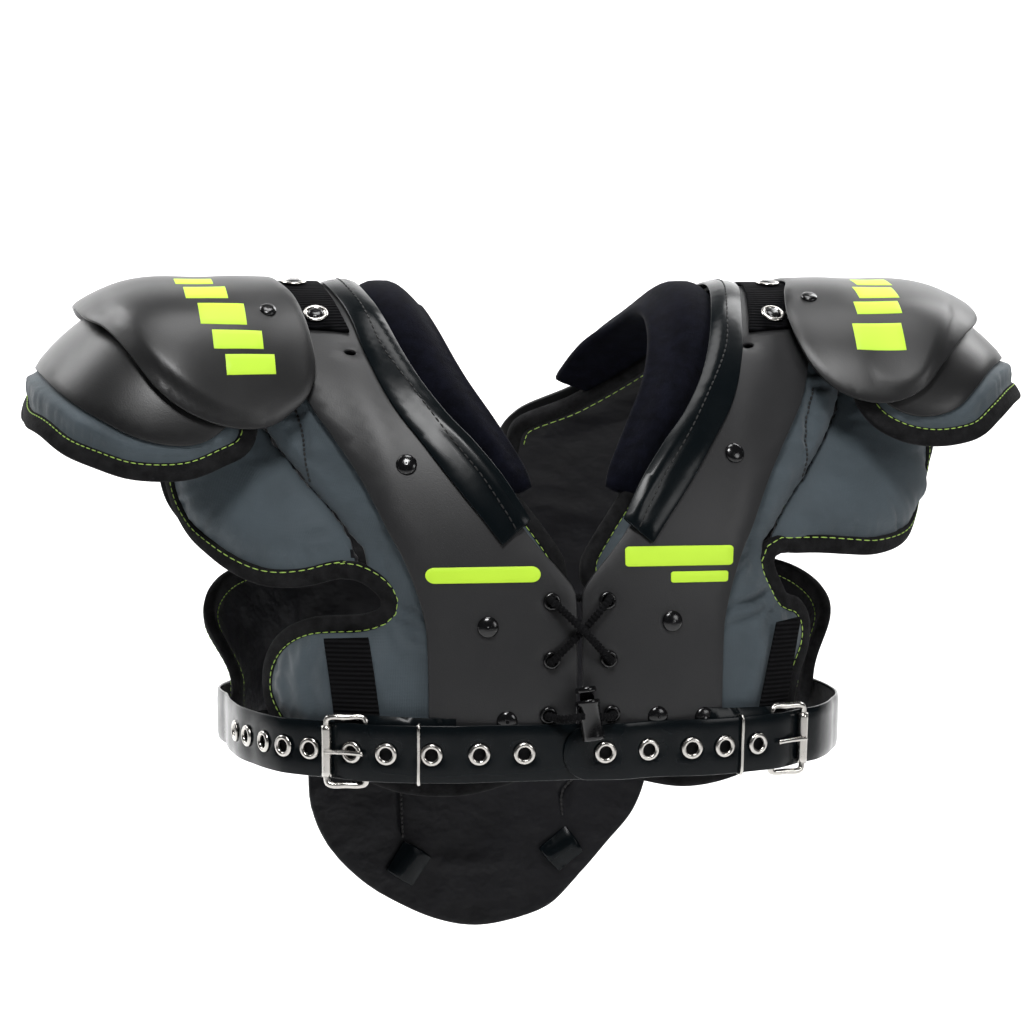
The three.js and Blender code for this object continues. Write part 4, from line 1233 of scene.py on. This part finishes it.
def chest_seams(side, word, line, outer):
    """Green stitches along the bindings, outside and on the lining, and the shoulder's seam."""
    fronts = ((PAD_NECK[3:7], 6.0), (armhole(side)[:13], 7.2), (BACK_WING[2:12], 7.2))
    for k, (part, reach) in enumerate(fronts):
        stitches(f"pad_stitches_{word}_{k + 1}", WINGS, hem_line(line, open_line(side, part), reach),
                 lambda a, b: outer(a, b, 6.0), GREEN_THREAD, closed=False)
    for k, part in enumerate((PAD_NECK[11:17], BACK_WING[2:12])):
        stitches(f"lining_stitches_{word}_{k + 1}", WINGS,
                 hem_line(line, open_line(side, part), 7.0),
                 lambda a, b: np.full(len(a), -0.6), GREEN_THREAD, closed=False)
    stitches(f"shoulder_stitches_{word}", WINGS, open_line(side, SHOULDER_SEAM, 2.0),
             lambda a, b: outer(a, b, 15.0) + 0.2, BLACK_THREAD, pitch=2.6, length=1.9, thick=1.3,
             closed=False)


def body_pads():
    for side, word in SIDES:
        rows = [*PAD_NECK, *BACK_WING, *SHOULDER_EDGE, *FRONT_WING[side]]
        line = body_outline(side, rows)
        pad = chest_pad(side, word, line)
        bound = chest_bindings(side, word, line)
        chest_seams(side, word, line, surface_out([pad, *bound], WINGS))


def deltoid_thickness(u, v):
    return 7.5 + 4 * smooth((np.abs(v) - 40) / 40)


def deltoid_pads():
    for side, word in SIDES:
        chart = DELTOIDS[side]
        free = [*DELTOID_LOBE[side], *DELTOID_TOP]
        line = body_outline(side, [*free, *DELTOID_SEAM])
        crease = open_line(side, DELTOID_SEAM)
        cloth = short_of(line, crease)
        obj = slab(f"arm_pad_{word}", chart, [cloth], 6.0,
                   crown(deltoid_thickness, 4.8, 14, 8.0, crease), level(0.4), SLATE,
                   nodes=[f"deltoid_pad_{word}"], slot="pad_cloth")
        u, v = (line / chart.size).T
        puff(obj, chart.at(u, v, 2.6))
        relief = together(crumple(side + 9, 0.025, 1.2), gathers(line, side + 21, 2.0))
        press(obj, chart, cloth, 5.0, relief, INNER_SATIN)
        edge = open_line(side, free[2:])
        tape = binding(f"arm_binding_{word}", chart, line, edge,
                       lambda a, b: np.full(len(a), 5.8), lambda a, b: np.zeros(len(a)))
        outer = surface_out([obj, tape], chart)
        seam = open_line(side, free[2:-1])
        stitches(f"arm_stitches_{word}", chart, hem_line(line, seam, 7.2),
                 lambda a, b: outer(a, b, 6.0), GREEN_THREAD, closed=False)


# Neckline.
def neck_rolls():
    for side, word in SIDES:
        line = body_outline(side, ROLL, 2.5)
        under = cover(body_outline(side, STRIP), BODY.size, STRIP_IN - 0.3, 6.0, 5.0)

        def face(away, u, v, under=under):
            tall = 17.4 + 4 * (1 - smooth((np.abs(v) - 30) / 50))
            return np.minimum(crown(tall, 9.0, 10, 0.0)(away, u, v), under(u, v))
        obj = slab(f"collar_roll_{word}", BODY, [line], 3.5, face,
                   level(2.5), KNIT, rim=0.9, nodes=[f"neck_roll_{word}"], slot="roll_knit")


def strip_face(side):
    """The strip lies flat along its outer half and swells along the neck."""
    middle = open_line(side, STRIP_STITCHES)
    inner = open_line(side, STRIP[11:])

    def top(away, u, v):
        flat = np.stack([u, v], 1) * BODY.size
        seam = open_distance(flat, middle)
        neck = open_distance(flat, inner)
        swell = 1.5 * np.exp(-((neck - 4.2) / 3.0)**2)
        waves_in = [noise.noise(Vector((a * 0.12, b * 0.035, side))) for a, b in zip(u, v)]
        return (STRIP_OUT - 0.7 * (1 - smooth(away / 3)) + swell
                - 0.7 * np.exp(-(seam / 1.6)**2) + 0.45 * np.array(waves_in))
    return top


def neck_strips():
    for side, word in SIDES:
        line = body_outline(side, STRIP, 2.5)
        obj = slab(f"collar_strip_{word}", BODY, [line], 2.6, strip_face(side), level(STRIP_IN),
                   PATENT, nodes=[f"neck_strip_{word}"], slot="patent_vinyl")
        outer = surface_out([obj], BODY)
        seam = open_line(side, STRIP_STITCHES)
        stitches(f"strip_stitches_{word}", BODY, seam, lambda a, b: outer(a, b, STRIP_OUT) + 0.1,
                 BLACK_THREAD, pitch=3.2, length=2.4, thick=0.9, closed=False)


# Webbing. Washer spots are tape and angle.
WASHER_SPOTS = [["front", -41, 31.4], ["top", -9, 31.4], ["back", 47, 33.2]]
WASHER = [(0, 0), (6.3, 0), (6.4, 0.5), (6.0, 0.95), (5.2, 1.15), (4.5, 0.9), (4.3, 0.5),
          (0, 0.5)]
WASHER_HEAD = [(0, 0.3), (4.2, 0.3), (4.1, 0.8), (3.2, 1.3), (1.6, 1.6), (0, 1.65)]


def shoulder_webbings():
    for side, word in SIDES:
        line = body_outline(side, WEBBING_OUTLINE)
        slab(f"shoulder_strap_{word}", BODY, [line], 4.0, level(WEB_OUT), level(WEB_IN), WEBBING,
             nodes=[f"shoulder_webbing_{word}"], slot="webbing")
        for place, tape, angle in WASHER_SPOTS:
            spot = (BODY, side * angle, tape, WEB_OUT + 0.4)
            stud(f"washer_{place}_{word}", *spot, WASHER, NICKEL,
                 nodes=[f"webbing_washer_{place}_{word}"], slot="nickel")
            stud(f"washer_head_{place}_{word}", *spot, WASHER_HEAD, GLOSS_BLACK)


def side_webbings():
    for side, word in SIDES:
        line = body_outline(side, SIDE_STRAPS[side])
        slab(f"wing_strap_{word}", BODY, [line], 3.0, level(PAD + 1.7), level(PAD + 0.4),
             STRAP_WEB, nodes=[f"side_webbing_{word}"], slot="webbing")


BACK_STRAPS = [["upper", 150], ["lower", 205]]
BACK_STRAP_REACH, BACK_STRAP_HALF = 11, 12.5


def back_straps():
    for word, tape in BACK_STRAPS:
        u, v = BACK_STRAP_REACH, BACK_STRAP_HALF
        rows = box_rows(-u, u, tape - v, tape + v)
        slab(f"lace_strap_{word}", BODY, [rounded(rows, BODY.size)], 3.0, level(WEB_OUT),
             level(WEB_IN), WEBBING, nodes=[f"back_strap_{word}"], slot="webbing")


# Caps.
# The boss on each upper cap: its sharp outer foot, then its soft inner side.
BOSS_FOOT = {
    LEFT: [[102, 0], [101, 20], [96.7, 33.5], [87.7, 49.8], [77.5, 58.7], [64.5, 65], [49.2, 68.9],
           [35.9, 70.3], [31.3, 68.3], [33.3, 62.9]],
    RIGHT: [[97, 0], [94, 25], [85.9, 42.8], [76.4, 54.5], [70.9, 59.8], [61.4, 63.1],
            [51.4, 63.3], [45, 60.9], [42.4, 57.4], [43.4, 52.4]],
}
BOSS_INSIDE = {
    LEFT: [[33.3, 62.9], [25, 50], [14, 30], [12, 0]],
    RIGHT: [[43.4, 52.4], [31, 42], [16, 25], [13, 0]],
}
BOSS_HEIGHT, FOOT_WIDTH, CLOSE = 3.0, 5.0, 42.0


def boss_height(side):
    size = DOMES[side].size
    foot = rounded([*reversed([[u, -v] for u, v in BOSS_FOOT[side][1:]]), *BOSS_FOOT[side]],
                   size, closed=False)
    soft = rounded([*BOSS_INSIDE[side], *reversed([[u, -v] for u, v in BOSS_INSIDE[side][:-1]])],
                   size, closed=False)
    edge = np.concatenate([foot, soft[1:-1]])

    def height(u, v):
        flat = np.stack([u, v], 1) * size
        to_foot = open_distance(flat, foot)
        steep = 1 - (1 - np.clip(to_foot / FOOT_WIDTH, 0, 1))**2
        closes = smooth(open_distance(flat, soft) / CLOSE)
        front = smooth((np.abs(v) - 16) / 26)
        return np.where(inside(flat, [edge]), BOSS_HEIGHT * steep * closes * front, 0)
    return height


CAP_RIVETS = {LEFT: [25.2, 36.8], RIGHT: [19.7, 29.7]}
CAP_RIVET = [(0, 0), (4.4, 0), (4.4, 0.5), (3.9, 1.1), (2.8, 1.5), (1.4, 1.7), (0, 1.75)]


def upper_caps():
    for side, word in SIDES:
        line = dome_outline(side, UPPER_CAP[side])
        boss = boss_height(side)
        face = lambda away, u, v: CAP_TOP - 0.5 * (1 - smooth(away / 2)) + boss(u, v)
        slab(f"cap_shell_{word}", LIFTED_DOMES[side], [line], 2.6, face, level(CAP_UNDER), CAP_BLACK,
             nodes=[f"upper_cap_{word}"], slot="cap_plastic")
        u, v = CAP_RIVETS[side]
        high = CAP_TOP + boss(np.array([u]), np.array([v]))[0]
        stud(f"cap_rivet_{word}", LIFTED_DOMES[side], u, v, high, CAP_RIVET, GLOSS_BLACK)
        cap_marks(side, word, boss)


# Plain neon blocks: tape and angle of each one's middle, half its size along each, in mm.
CAP_MARKS = {
    LEFT: [[37, 55.5, 12, 4.2], [42, 48, 12, 4.2], [48, 39, 11, 6], [54, 28, 10, 6],
           [58, 17, 9, 5]],
    RIGHT: [[49, 47, 12, 6.5], [52, 36, 11, 4], [55, 27, 10, 6], [58, 16, 9, 6]],
}


def cap_marks(side, word, boss):
    chart = LIFTED_DOMES[side]
    for k, (u, v, half_u, half_v) in enumerate(CAP_MARKS[side]):
        dv = half_v / chart.size[1]
        rows = box_rows(u - half_u, u + half_u, v - dv, v + dv)
        high = lambda away, a, b: CAP_TOP + 0.12 + boss(a, b)
        low = lambda away, a, b: CAP_TOP - 0.3 + boss(a, b)
        slab(f"cap_mark_{word}_{k + 1}", chart, [rounded(rows, chart.size)], 2.6, high, low,
             NEON_PRINT)


def lower_caps():
    for side, word in SIDES:
        line = dome_outline(side, LOWER_CAP[side])
        face = lambda away, u, v: SKIRT_TOP - 0.5 * (1 - smooth(away / 2))
        slab(f"cap_skirt_{word}", DOMES[side], [line], 4.5, face, level(SKIRT_UNDER),
             CAP_BLACK, nodes=[f"lower_cap_{word}"], slot="cap_plastic")


def cap_pads():
    for side, word in SIDES:
        chart = DOMES[side]
        line = dome_outline(side, CAP_PAD[side])
        shell = cover(dome_outline(side, LOWER_CAP[side]), chart.size, CAP_PAD_TOP, 5.0, 9.0)
        ruffle = gathers(line, side + 31, 2.2, 4.0, 9.0)

        def face(away, u, v, shell=shell, ruffle=ruffle):
            full = crown(10.0, 4.4, 10)(away, u, v) + smooth((away - 6) / 4) * ruffle(
                u * chart.size[0] / DEGREE, v * chart.size[1], away)
            return np.minimum(full, shell(u, v))
        obj = slab(f"cap_cushion_{word}", chart, [inset(line, 1.3)], 2.4, face, level(0.2), SLATE,
                   nodes=[f"cap_pad_{word}"], slot="pad_cloth")
        flat = lambda value: lambda a, b: np.full(len(a), value)
        tape = binding(f"cap_binding_{word}", chart, line, None, flat(5.2), flat(-0.2))
        outer = surface_out([obj, tape], chart)
        stitches(f"cap_stitches_{word}", chart, inset(line, 7.2), lambda a, b: outer(a, b, 6.0),
                 GREEN_THREAD)


# Belts: angles round the chest, and the distance of the inner face at each angle.
BELT_MIDDLE, BELT_HALF = -258.3, 12.7
BELTS = {
    LEFT: {
        "from": -150, "to": 5.5,
        "inner": [[-150, 19.4], [-126, 19.4], [-120, 16.5], [-108, 13], [-96, 7.6], [-78, 8],
                  [-63, 11.4], [-52, 17.8], [-42, 17.8], [-36, 21.6], [-21, 21.6], [-15, 19.4],
                  [6, 19.4]],
        "eyelets": [-73.5, -65.4, -57.6, -51.6, -32.6, -25.4, -17.7, -10.1],
        "roller": -42.6, "pivot": -36.2, "keeper": -27.4,
    },
    RIGHT: {
        "from": 150, "to": -2.6,
        "inner": [[-2.6, 21.8], [8, 21.8], [12, 19.4], [16, 19.4], [22, 21.6], [36.4, 21.6],
                  [42, 17.8], [47, 17.8], [58, 11.4], [78, 8], [96, 7.6], [108, 13],
                  [120, 16.5], [126, 19.4], [150, 19.4]],
        "eyelets": [4.3, 12.3, 19.8, 25.6, 31.8],
        "roller": 41.6, "pivot": 35.6, "keeper": 28.6,
    },
}
EYELET = [(3.0, -0.8), (3.4, -0.8), (3.4, 0), (5.5, 0), (5.5, 0.3), (5.1, 0.8), (4.4, 1.15),
          (3.7, 1.1), (3.2, 0.7), (3.0, 0.2), (3.0, -0.8)]


# Eyelets beside and behind the left buckle: angles.
BUCKLE_EYELETS = {LEFT: [-46.2, -38.4], RIGHT: []}


def belt_inner(side):
    return lambda u: table_at(BELTS[side]["inner"], u)


def belt_skin(inner, u):
    return float(inner(u)) + BELT_THICK + 0.15


def belt_tilt(inner, u):
    """The direction square to the belt where it slopes away from the chart."""
    along = BODY.spot(u + 2, BELT_MIDDLE, belt_skin(inner, u + 2)) - BODY.spot(
        u - 2, BELT_MIDDLE, belt_skin(inner, u - 2))
    up = BODY.axes(u, BELT_MIDDLE)[1]
    return along.cross(up).normalized()


def belts():
    for side, word in SIDES:
        spec, inner = BELTS[side], belt_inner(side)
        low, high = BELT_MIDDLE - BELT_HALF, BELT_MIDDLE + BELT_HALF
        turn = 1 if spec["to"] > spec["from"] else -1
        rows = [[spec["from"], low, 1], [spec["to"] - 3 * turn, low], [spec["to"], low + 6],
                [spec["to"], high - 6], [spec["to"] - 3 * turn, high], [spec["from"], high, 1]]
        eyelets = [*spec["eyelets"], *BUCKLE_EYELETS[side]]
        holes = [ring_hole(BODY, u, BELT_MIDDLE, 3.6) for u in eyelets]
        face = lambda away, u, v: inner(u) + BELT_THICK - 0.5 * (1 - smooth(away / 2.5))
        slab(f"waist_belt_{word}", BODY, [rounded(rows, BODY.size), *holes], 4.0, face,
             lambda away, u, v: inner(u) + 0.1, PATENT, nodes=[f"belt_{word}"],
             slot="patent_vinyl")
        slab(f"belt_lining_{word}", BODY, [inset(rounded(rows, BODY.size), 1.0)], 6.0,
             lambda away, u, v: inner(u) + 0.2, lambda away, u, v: inner(u) - 0.3, BINDING)
        for k, u in enumerate(eyelets):
            nodes = [f"belt_eyelet_{word}_{k + 1}"] if u in spec["eyelets"] else []
            turned(f"eyelet_{word}_{k + 1}", BODY.spot(u, BELT_MIDDLE, belt_skin(inner, u)),
                   belt_tilt(inner, u), EYELET, NICKEL, 32, nodes=nodes, slot="nickel")
        buckle(word, spec, inner)
        keeper(word, spec, inner)


# The strap that holds each buckle: angle range and tape range, under the belt.
ANCHORS = {LEFT: [-36.4, -21.5, -271.5, -240.5], RIGHT: [22.5, 35.8, -270.5, -240.0]}


def anchor_straps():
    for side, word in SIDES:
        u0, u1, v0, v1 = ANCHORS[side]
        rows = [[u0, v0, 1], [u1, v0 + 1, 1], [u1, v1 - 1.5, 1], [u0, v1, 1]]
        swell = lambda away, u, v: 19.3 + 2.0 * smooth(away / 1.5)
        slab(f"anchor_strap_{word}", BODY, [rounded(rows, BODY.size)], 3.0, swell, level(19.2),
             PATENT)


BAR = 1.6
KEEPER_WIRE = 0.8
BUCKLE_HALF, KEEPER_HALF = BELT_HALF + 3.8, BELT_HALF + 1.4


def on_belt(u, v, out):
    return tuple(BODY.spot(u, BELT_MIDDLE + v, out))


def buckle(word, spec, inner):
    roller, pivot = spec["roller"], spec["pivot"]
    roller_out = float(inner(roller)) + BELT_THICK + BAR + 1.0
    pivot_out = float(inner(pivot)) - BAR - 1.1
    middle, middle_out = (roller + pivot) / 2, (roller_out + pivot_out) / 2
    corner = math.copysign(0.8, middle - roller)
    half, bend = BUCKLE_HALF, BUCKLE_HALF - 3
    loop = [
        (roller, bend, roller_out), (roller, 0, roller_out), (roller, -bend, roller_out),
        (roller + corner, -half, roller_out), (middle, -half, middle_out),
        (pivot - corner, -half, pivot_out), (pivot, -bend, pivot_out), (pivot, 0, pivot_out),
        (pivot, bend, pivot_out), (pivot - corner, half, pivot_out), (middle, half, middle_out),
        (roller + corner, half, roller_out),
    ]
    tube(f"buckle_loop_{word}", [on_belt(*p) for p in loop], BAR, NICKEL, True, 96,
         nodes=[f"buckle_frame_{word}"], slot="nickel")
    bar = [on_belt(roller, v, roller_out) for v in (4 - half, 0, half - 4)]
    tube(f"buckle_roller_{word}", bar, BAR + 0.9, NICKEL, False, 12, 20)
    top = lambda u: float(inner(u)) + BELT_THICK
    prong = [on_belt(roller, 0, roller_out + BAR + 1.2), on_belt(middle, 0, top(middle) + 2.4),
             on_belt(pivot, 0, top(pivot) + 2.0)]
    tube(f"buckle_pin_{word}", prong, 1.15, NICKEL, False, 24, nodes=[f"buckle_prong_{word}"],
         slot="nickel")


def keeper(word, spec, inner):
    place, bend = spec["keeper"], KEEPER_HALF - 1.6
    over = float(inner(place)) + BELT_THICK + KEEPER_WIRE + 0.5
    under = float(inner(place)) - KEEPER_WIRE - 0.5
    middle = (over + under) / 2
    hoop = [(bend, over), (0, over), (-bend, over), (-KEEPER_HALF, middle), (-bend, under),
            (0, under), (bend, under), (KEEPER_HALF, middle)]
    tube(f"keeper_hoop_{word}", [on_belt(place, v, out) for v, out in hoop], KEEPER_WIRE, NICKEL,
         True, 64, nodes=[f"belt_keeper_{word}"], slot="nickel")


# Sewn creases and folds of the flap: line, half width, height.
FLAP_FOLDS = [
    ([[-20.5, 284], [-20.8, 320], [-20.6, 343]], 2.2, -3.4),
    ([[17.5, 278], [18.2, 306], [14.5, 318], [14.5, 334]], 2.2, -3.2),
    ([[-24, 366], [-27, 371], [-30, 374]], 1.6, -1.2),
    ([[16, 360], [18.5, 364], [20, 368]], 1.6, -1.2),
    ([[-18, 350], [-12, 356], [-2, 357], [4, 354]], 5.0, 1.1),
    ([[-33, 290], [-34, 320], [-30, 348]], 7.0, 0.8),
    ([[25, 290], [26, 320], [21, 345]], 7.0, 0.8),
    ([[-12, 292], [-11, 316], [-13, 336]], 8.0, 0.7),
]


def flap_cushion(line):
    obj = slab("flap_cushion", BODY, [line], 2.6, crown(-1.2, -3.6, 9, 0.0), level(-6.4),
               INNER_SATIN, nodes=["back_flap"], slot="flap_satin")
    folds = [ridge(path, BODY.size, width, height) for path, width, height in FLAP_FOLDS]
    inner = together(crumple(40, 0.03, 0.8), gathers(line, 41, 0.5, start=3.0), *folds)
    press(obj, BODY, line, -3.6, crumple(44, 0.03, 0.8), inner=inner)


def flap_tab(side, word):
    """A patent tab that stands off the flap in a shallow arch."""
    corners = np.array(FLAP_TABS[side])[:, :2] * BODY.size
    start = (corners[0] + corners[3]) / 2
    way = (corners[1] + corners[2]) / 2 - start

    def bent(away, u, v):
        share = np.clip((np.stack([u, v], 1) * BODY.size - start) @ way / (way @ way), 0, 1)
        return -8.0 - 3.0 * np.sin(math.pi * share)**0.7
    slab(f"tab_{word}", BODY, [rounded(FLAP_TABS[side], BODY.size)], 2.0, level(-6.6), bent, PATENT,
         nodes=[f"flap_tab_{word}"], slot="patent_vinyl")


def back_flap():
    flap_cushion(rounded(FLAP, BODY.size))
    # Thick black thread along the two sewn creases: partly a seam, partly painted shade, dark to
    # stand in for the shade in the creases' grooves.
    for (_, word), (path, _, _) in zip(SIDES, FLAP_FOLDS):
        seam = rounded(path, BODY.size, closed=False)
        stitches(f"flap_seam_shade_{word}", BODY, seam, lambda a, b: np.full(len(a), -5.6),
                 BLACK_THREAD, pitch=2.6, length=2.5, thick=1.6, closed=False)
    for side, word in SIDES:
        flap_tab(side, word)


# Rivets, lace and cord lock.
PLATE_RIVETS = [
    ["chest_left", -26.1, -124], ["mid_left", -16, -199], ["chest_right", 26.7, -120],
    ["mid_right", 16.4, -198],
]
RIVET = [(0, 0), (5.2, 0), (5.2, 0.4), (4.9, 0.9), (4.3, 1.35), (3.4, 1.75), (2.2, 2.05),
         (1.0, 2.2), (0, 2.2)]


LOWER_RIVETS = [
    ["low_left", -13, -243.5], ["low_mid_right", 14.1, -243], ["low_right", 22.5, -244.5],
]


def plate_rivets():
    for name, angle, tape in LOWER_RIVETS:
        stud(f"rivet_{name}", BODY, angle, tape, PLATE_OUT - 0.6, RIVET, GLOSS_BLACK)
    for name, angle, tape in PLATE_RIVETS:
        stud(f"rivet_{name}", BODY, angle, tape, PLATE_OUT + 0.1, RIVET, GLOSS_BLACK,
             nodes=[f"plate_rivet_{name}"], slot="rivet_plastic")


LACE_EYELET = [(2.2, -2.0), (2.6, -2.0), (2.6, 0), (4.3, 0), (4.3, 0.25), (3.9, 0.8),
               (3.1, 0.95), (2.4, 0.6), (2.2, 0.1), (2.2, -2.0)]


def lace_eyelets():
    for side, word in SIDES:
        for k, (u, v) in enumerate(LACE_HOLES):
            stud(f"lace_eyelet_{word}_{k + 1}", BODY, side * u, v, PLATE_OUT - 0.2, LACE_EYELET,
                 GLOSS_BLACK, 28)


CORD = 1.8
LOCK = {"angle": 1.0, "tape": -241, "out": 28.6, "tilt": 12, "lean": 7}


def lace():
    over, under = PLATE_OUT + CORD + 0.5, PLATE_IN - CORD - 0.5
    top, low, lock = LACE_HOLES
    at = lambda u, v, out: tuple(BODY.spot(u, v, out))
    pass_through = lambda side, hole, start, end: [
        at(side * hole[0], hole[1], start), at(side * hole[0], hole[1], (start + end) / 2),
        at(side * hole[0], hole[1], end)]
    angle, tape, out = LOCK["angle"], LOCK["tape"], LOCK["out"]
    points = [
        at(angle, tape + 1.5, out + 1.5), at(angle - 2.6, tape + 1, out + 2.5),
        at(angle - 4.6, tape - 0.5, out - 1.5),
        *pass_through(LEFT, lock, over, under), at(-5.4, -228, under),
        *pass_through(LEFT, low, under, over), at(0.2, -201.5, over),
        *pass_through(RIGHT, top, over, under), at(0, -186.5, under - 0.5),
        *pass_through(LEFT, top, under, over), at(0.2, -201.5, over + 2 * CORD + 1.1),
        *pass_through(RIGHT, low, over, under), at(5.4, -228, under),
        *pass_through(RIGHT, lock, under, over), at(angle + 3.2, tape, out - 2),
    ]
    obj = tube("lace_cord", points, CORD, CORD_BLACK, True, 900, 16, nodes=["chest_lace"],
               slot="cord")
    braid(obj, 900, 16)


def braid(obj, count, sides):
    """Plait a tube: strands cross over each other along it."""
    points = coords(obj.data).reshape(count, sides, 3)
    middle = points.mean(axis=1, keepdims=True)
    row, turn = np.meshgrid(np.arange(count), np.arange(sides) / sides, indexing="ij")
    phase = row * 0.42
    weave = np.sin(2 * math.pi * 3 * turn + phase) * np.sin(2 * math.pi * 3 * turn - phase)
    points = middle + (points - middle) * (1 + 0.3 * weave[..., None])
    set_coords(obj.data, points.reshape(-1, 3))


BARREL = [(0, -11), (4.9, -11), (5.4, -10.4), (5.5, -9), (5.5, 6.2), (6.1, 6.8), (6.1, 8.4),
          (5.8, 9), (3.9, 9), (3.9, -7.6), (0, -7.6)]
PLUNGER = [(0, -3.4), (3.5, -3.4), (3.5, 12.6), (4.9, 12.6), (5.2, 13), (5.2, 14.6),
           (4.7, 15.4), (0, 15.4)]


def cord_lock():
    across, up, out = BODY.axes(LOCK["angle"], LOCK["tape"])
    tilt = math.radians(LOCK["tilt"])
    axis = (up * math.cos(tilt) - out * math.sin(tilt)).normalized()
    axis = (axis - across * math.sin(math.radians(LOCK["lean"]))).normalized()
    seat = BODY.spot(LOCK["angle"], LOCK["tape"], LOCK["out"])
    turned("lock_barrel", seat, axis, BARREL, GLOSS_BLACK, nodes=["cord_lock_barrel"],
           slot="toggle_plastic")
    turned("lock_plunger", seat, axis, PLUNGER, GLOSS_BLACK, nodes=["cord_lock_plunger"],
           body=PLUNGER_BODY, slot="toggle_plastic")


# Stage, lights and camera.
def stage():
    white = Look("studio_white", grey(0.86), 0.9)
    white.tint(white.grain(white.place(), 3), grey(0.85), grey(0.88))
    size, floor = 6.0, -0.55
    profile = [(-size, floor), (1.2, floor)]
    profile += [(1.2 + 0.8 * math.sin(a), floor + 0.8 - 0.8 * math.cos(a))
                for a in np.linspace(0.1, math.pi / 2, 12)]
    profile += [(2.0, floor + size)]
    verts = [(x, y, z) for y, z in profile for x in (-size, size)]
    faces = [(2 * k, 2 * k + 1, 2 * k + 3, 2 * k + 2) for k in range(len(profile) - 1)]
    make("backdrop", verts, faces, white.material, body=None)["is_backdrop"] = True


def lamp(name, place, size, power, target):
    data = bpy.data.lights.new(name, "AREA")
    data.shape, data.size, data.energy = "DISK", size, power
    obj = bpy.data.objects.new(name, data)
    obj.location = place
    obj.rotation_euler = (Vector(target) - Vector(place)).to_track_quat("-Z", "Y").to_euler()
    bpy.context.scene.collection.objects.link(obj)


PAD_CENTRE = (0, 0, -0.1)
# Name, place, size, power and what each lamp points at.
LAMPS = [
    ("key", (-0.35, -1.5, 1.7), 0.7, 40, PAD_CENTRE),
    ("fill", (1.3, -1.6, 0.5), 0.8, 8, PAD_CENTRE),
    ("top", (0.1, -0.1, 1.9), 0.9, 16, PAD_CENTRE),
    ("backdrop_left", (-1.3, 0.9, 1.3), 1.5, 48, (-0.3, 2.0, -0.2)),
    ("backdrop_right", (1.3, 0.9, 1.3), 1.5, 48, (0.3, 2.0, -0.2)),
]
WORLD_LIGHT = 0.06


def lights():
    for row in LAMPS:
        lamp(*row)
    bpy.context.scene.view_settings.view_transform = "Standard"
    world = bpy.data.worlds.new("studio")
    world.use_nodes = True
    world.node_tree.nodes["Background"].inputs["Color"].default_value = (1, 1, 1, 1)
    world.node_tree.nodes["Background"].inputs["Strength"].default_value = WORLD_LIGHT
    bpy.context.scene.world = world


AZIMUTH, ELEVATION, DISTANCE = math.radians(-11), math.radians(4), 1.5
AIM = Vector((-0.0095, 0, -0.101))
LENS = 99.5


def camera():
    back = Vector((math.sin(AZIMUTH) * math.cos(ELEVATION),
                   -math.cos(AZIMUTH) * math.cos(ELEVATION), math.sin(ELEVATION)))
    data = bpy.data.cameras.new("camera")
    data.lens, data.sensor_width = LENS, 36
    obj = bpy.data.objects.new("camera", data)
    obj.location = AIM + back * DISTANCE
    obj.rotation_euler = back.to_track_quat("Z", "Y").to_euler()
    bpy.context.scene.collection.objects.link(obj)
    bpy.context.scene.camera = obj


plates()
chest_labels()
body_pads()
deltoid_pads()
neck_rolls()
neck_strips()
shoulder_webbings()
side_webbings()
back_straps()
cap_pads()
lower_caps()
upper_caps()
belts()
anchor_straps()
back_flap()
plate_rivets()
lace_eyelets()
lace()
cord_lock()
stage()
lights()
camera()

low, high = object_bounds()
({"cad": [list(map(float, p)) for p in CAD_BOX],
           "visual": [list(map(float, low)), list(map(float, high))]})
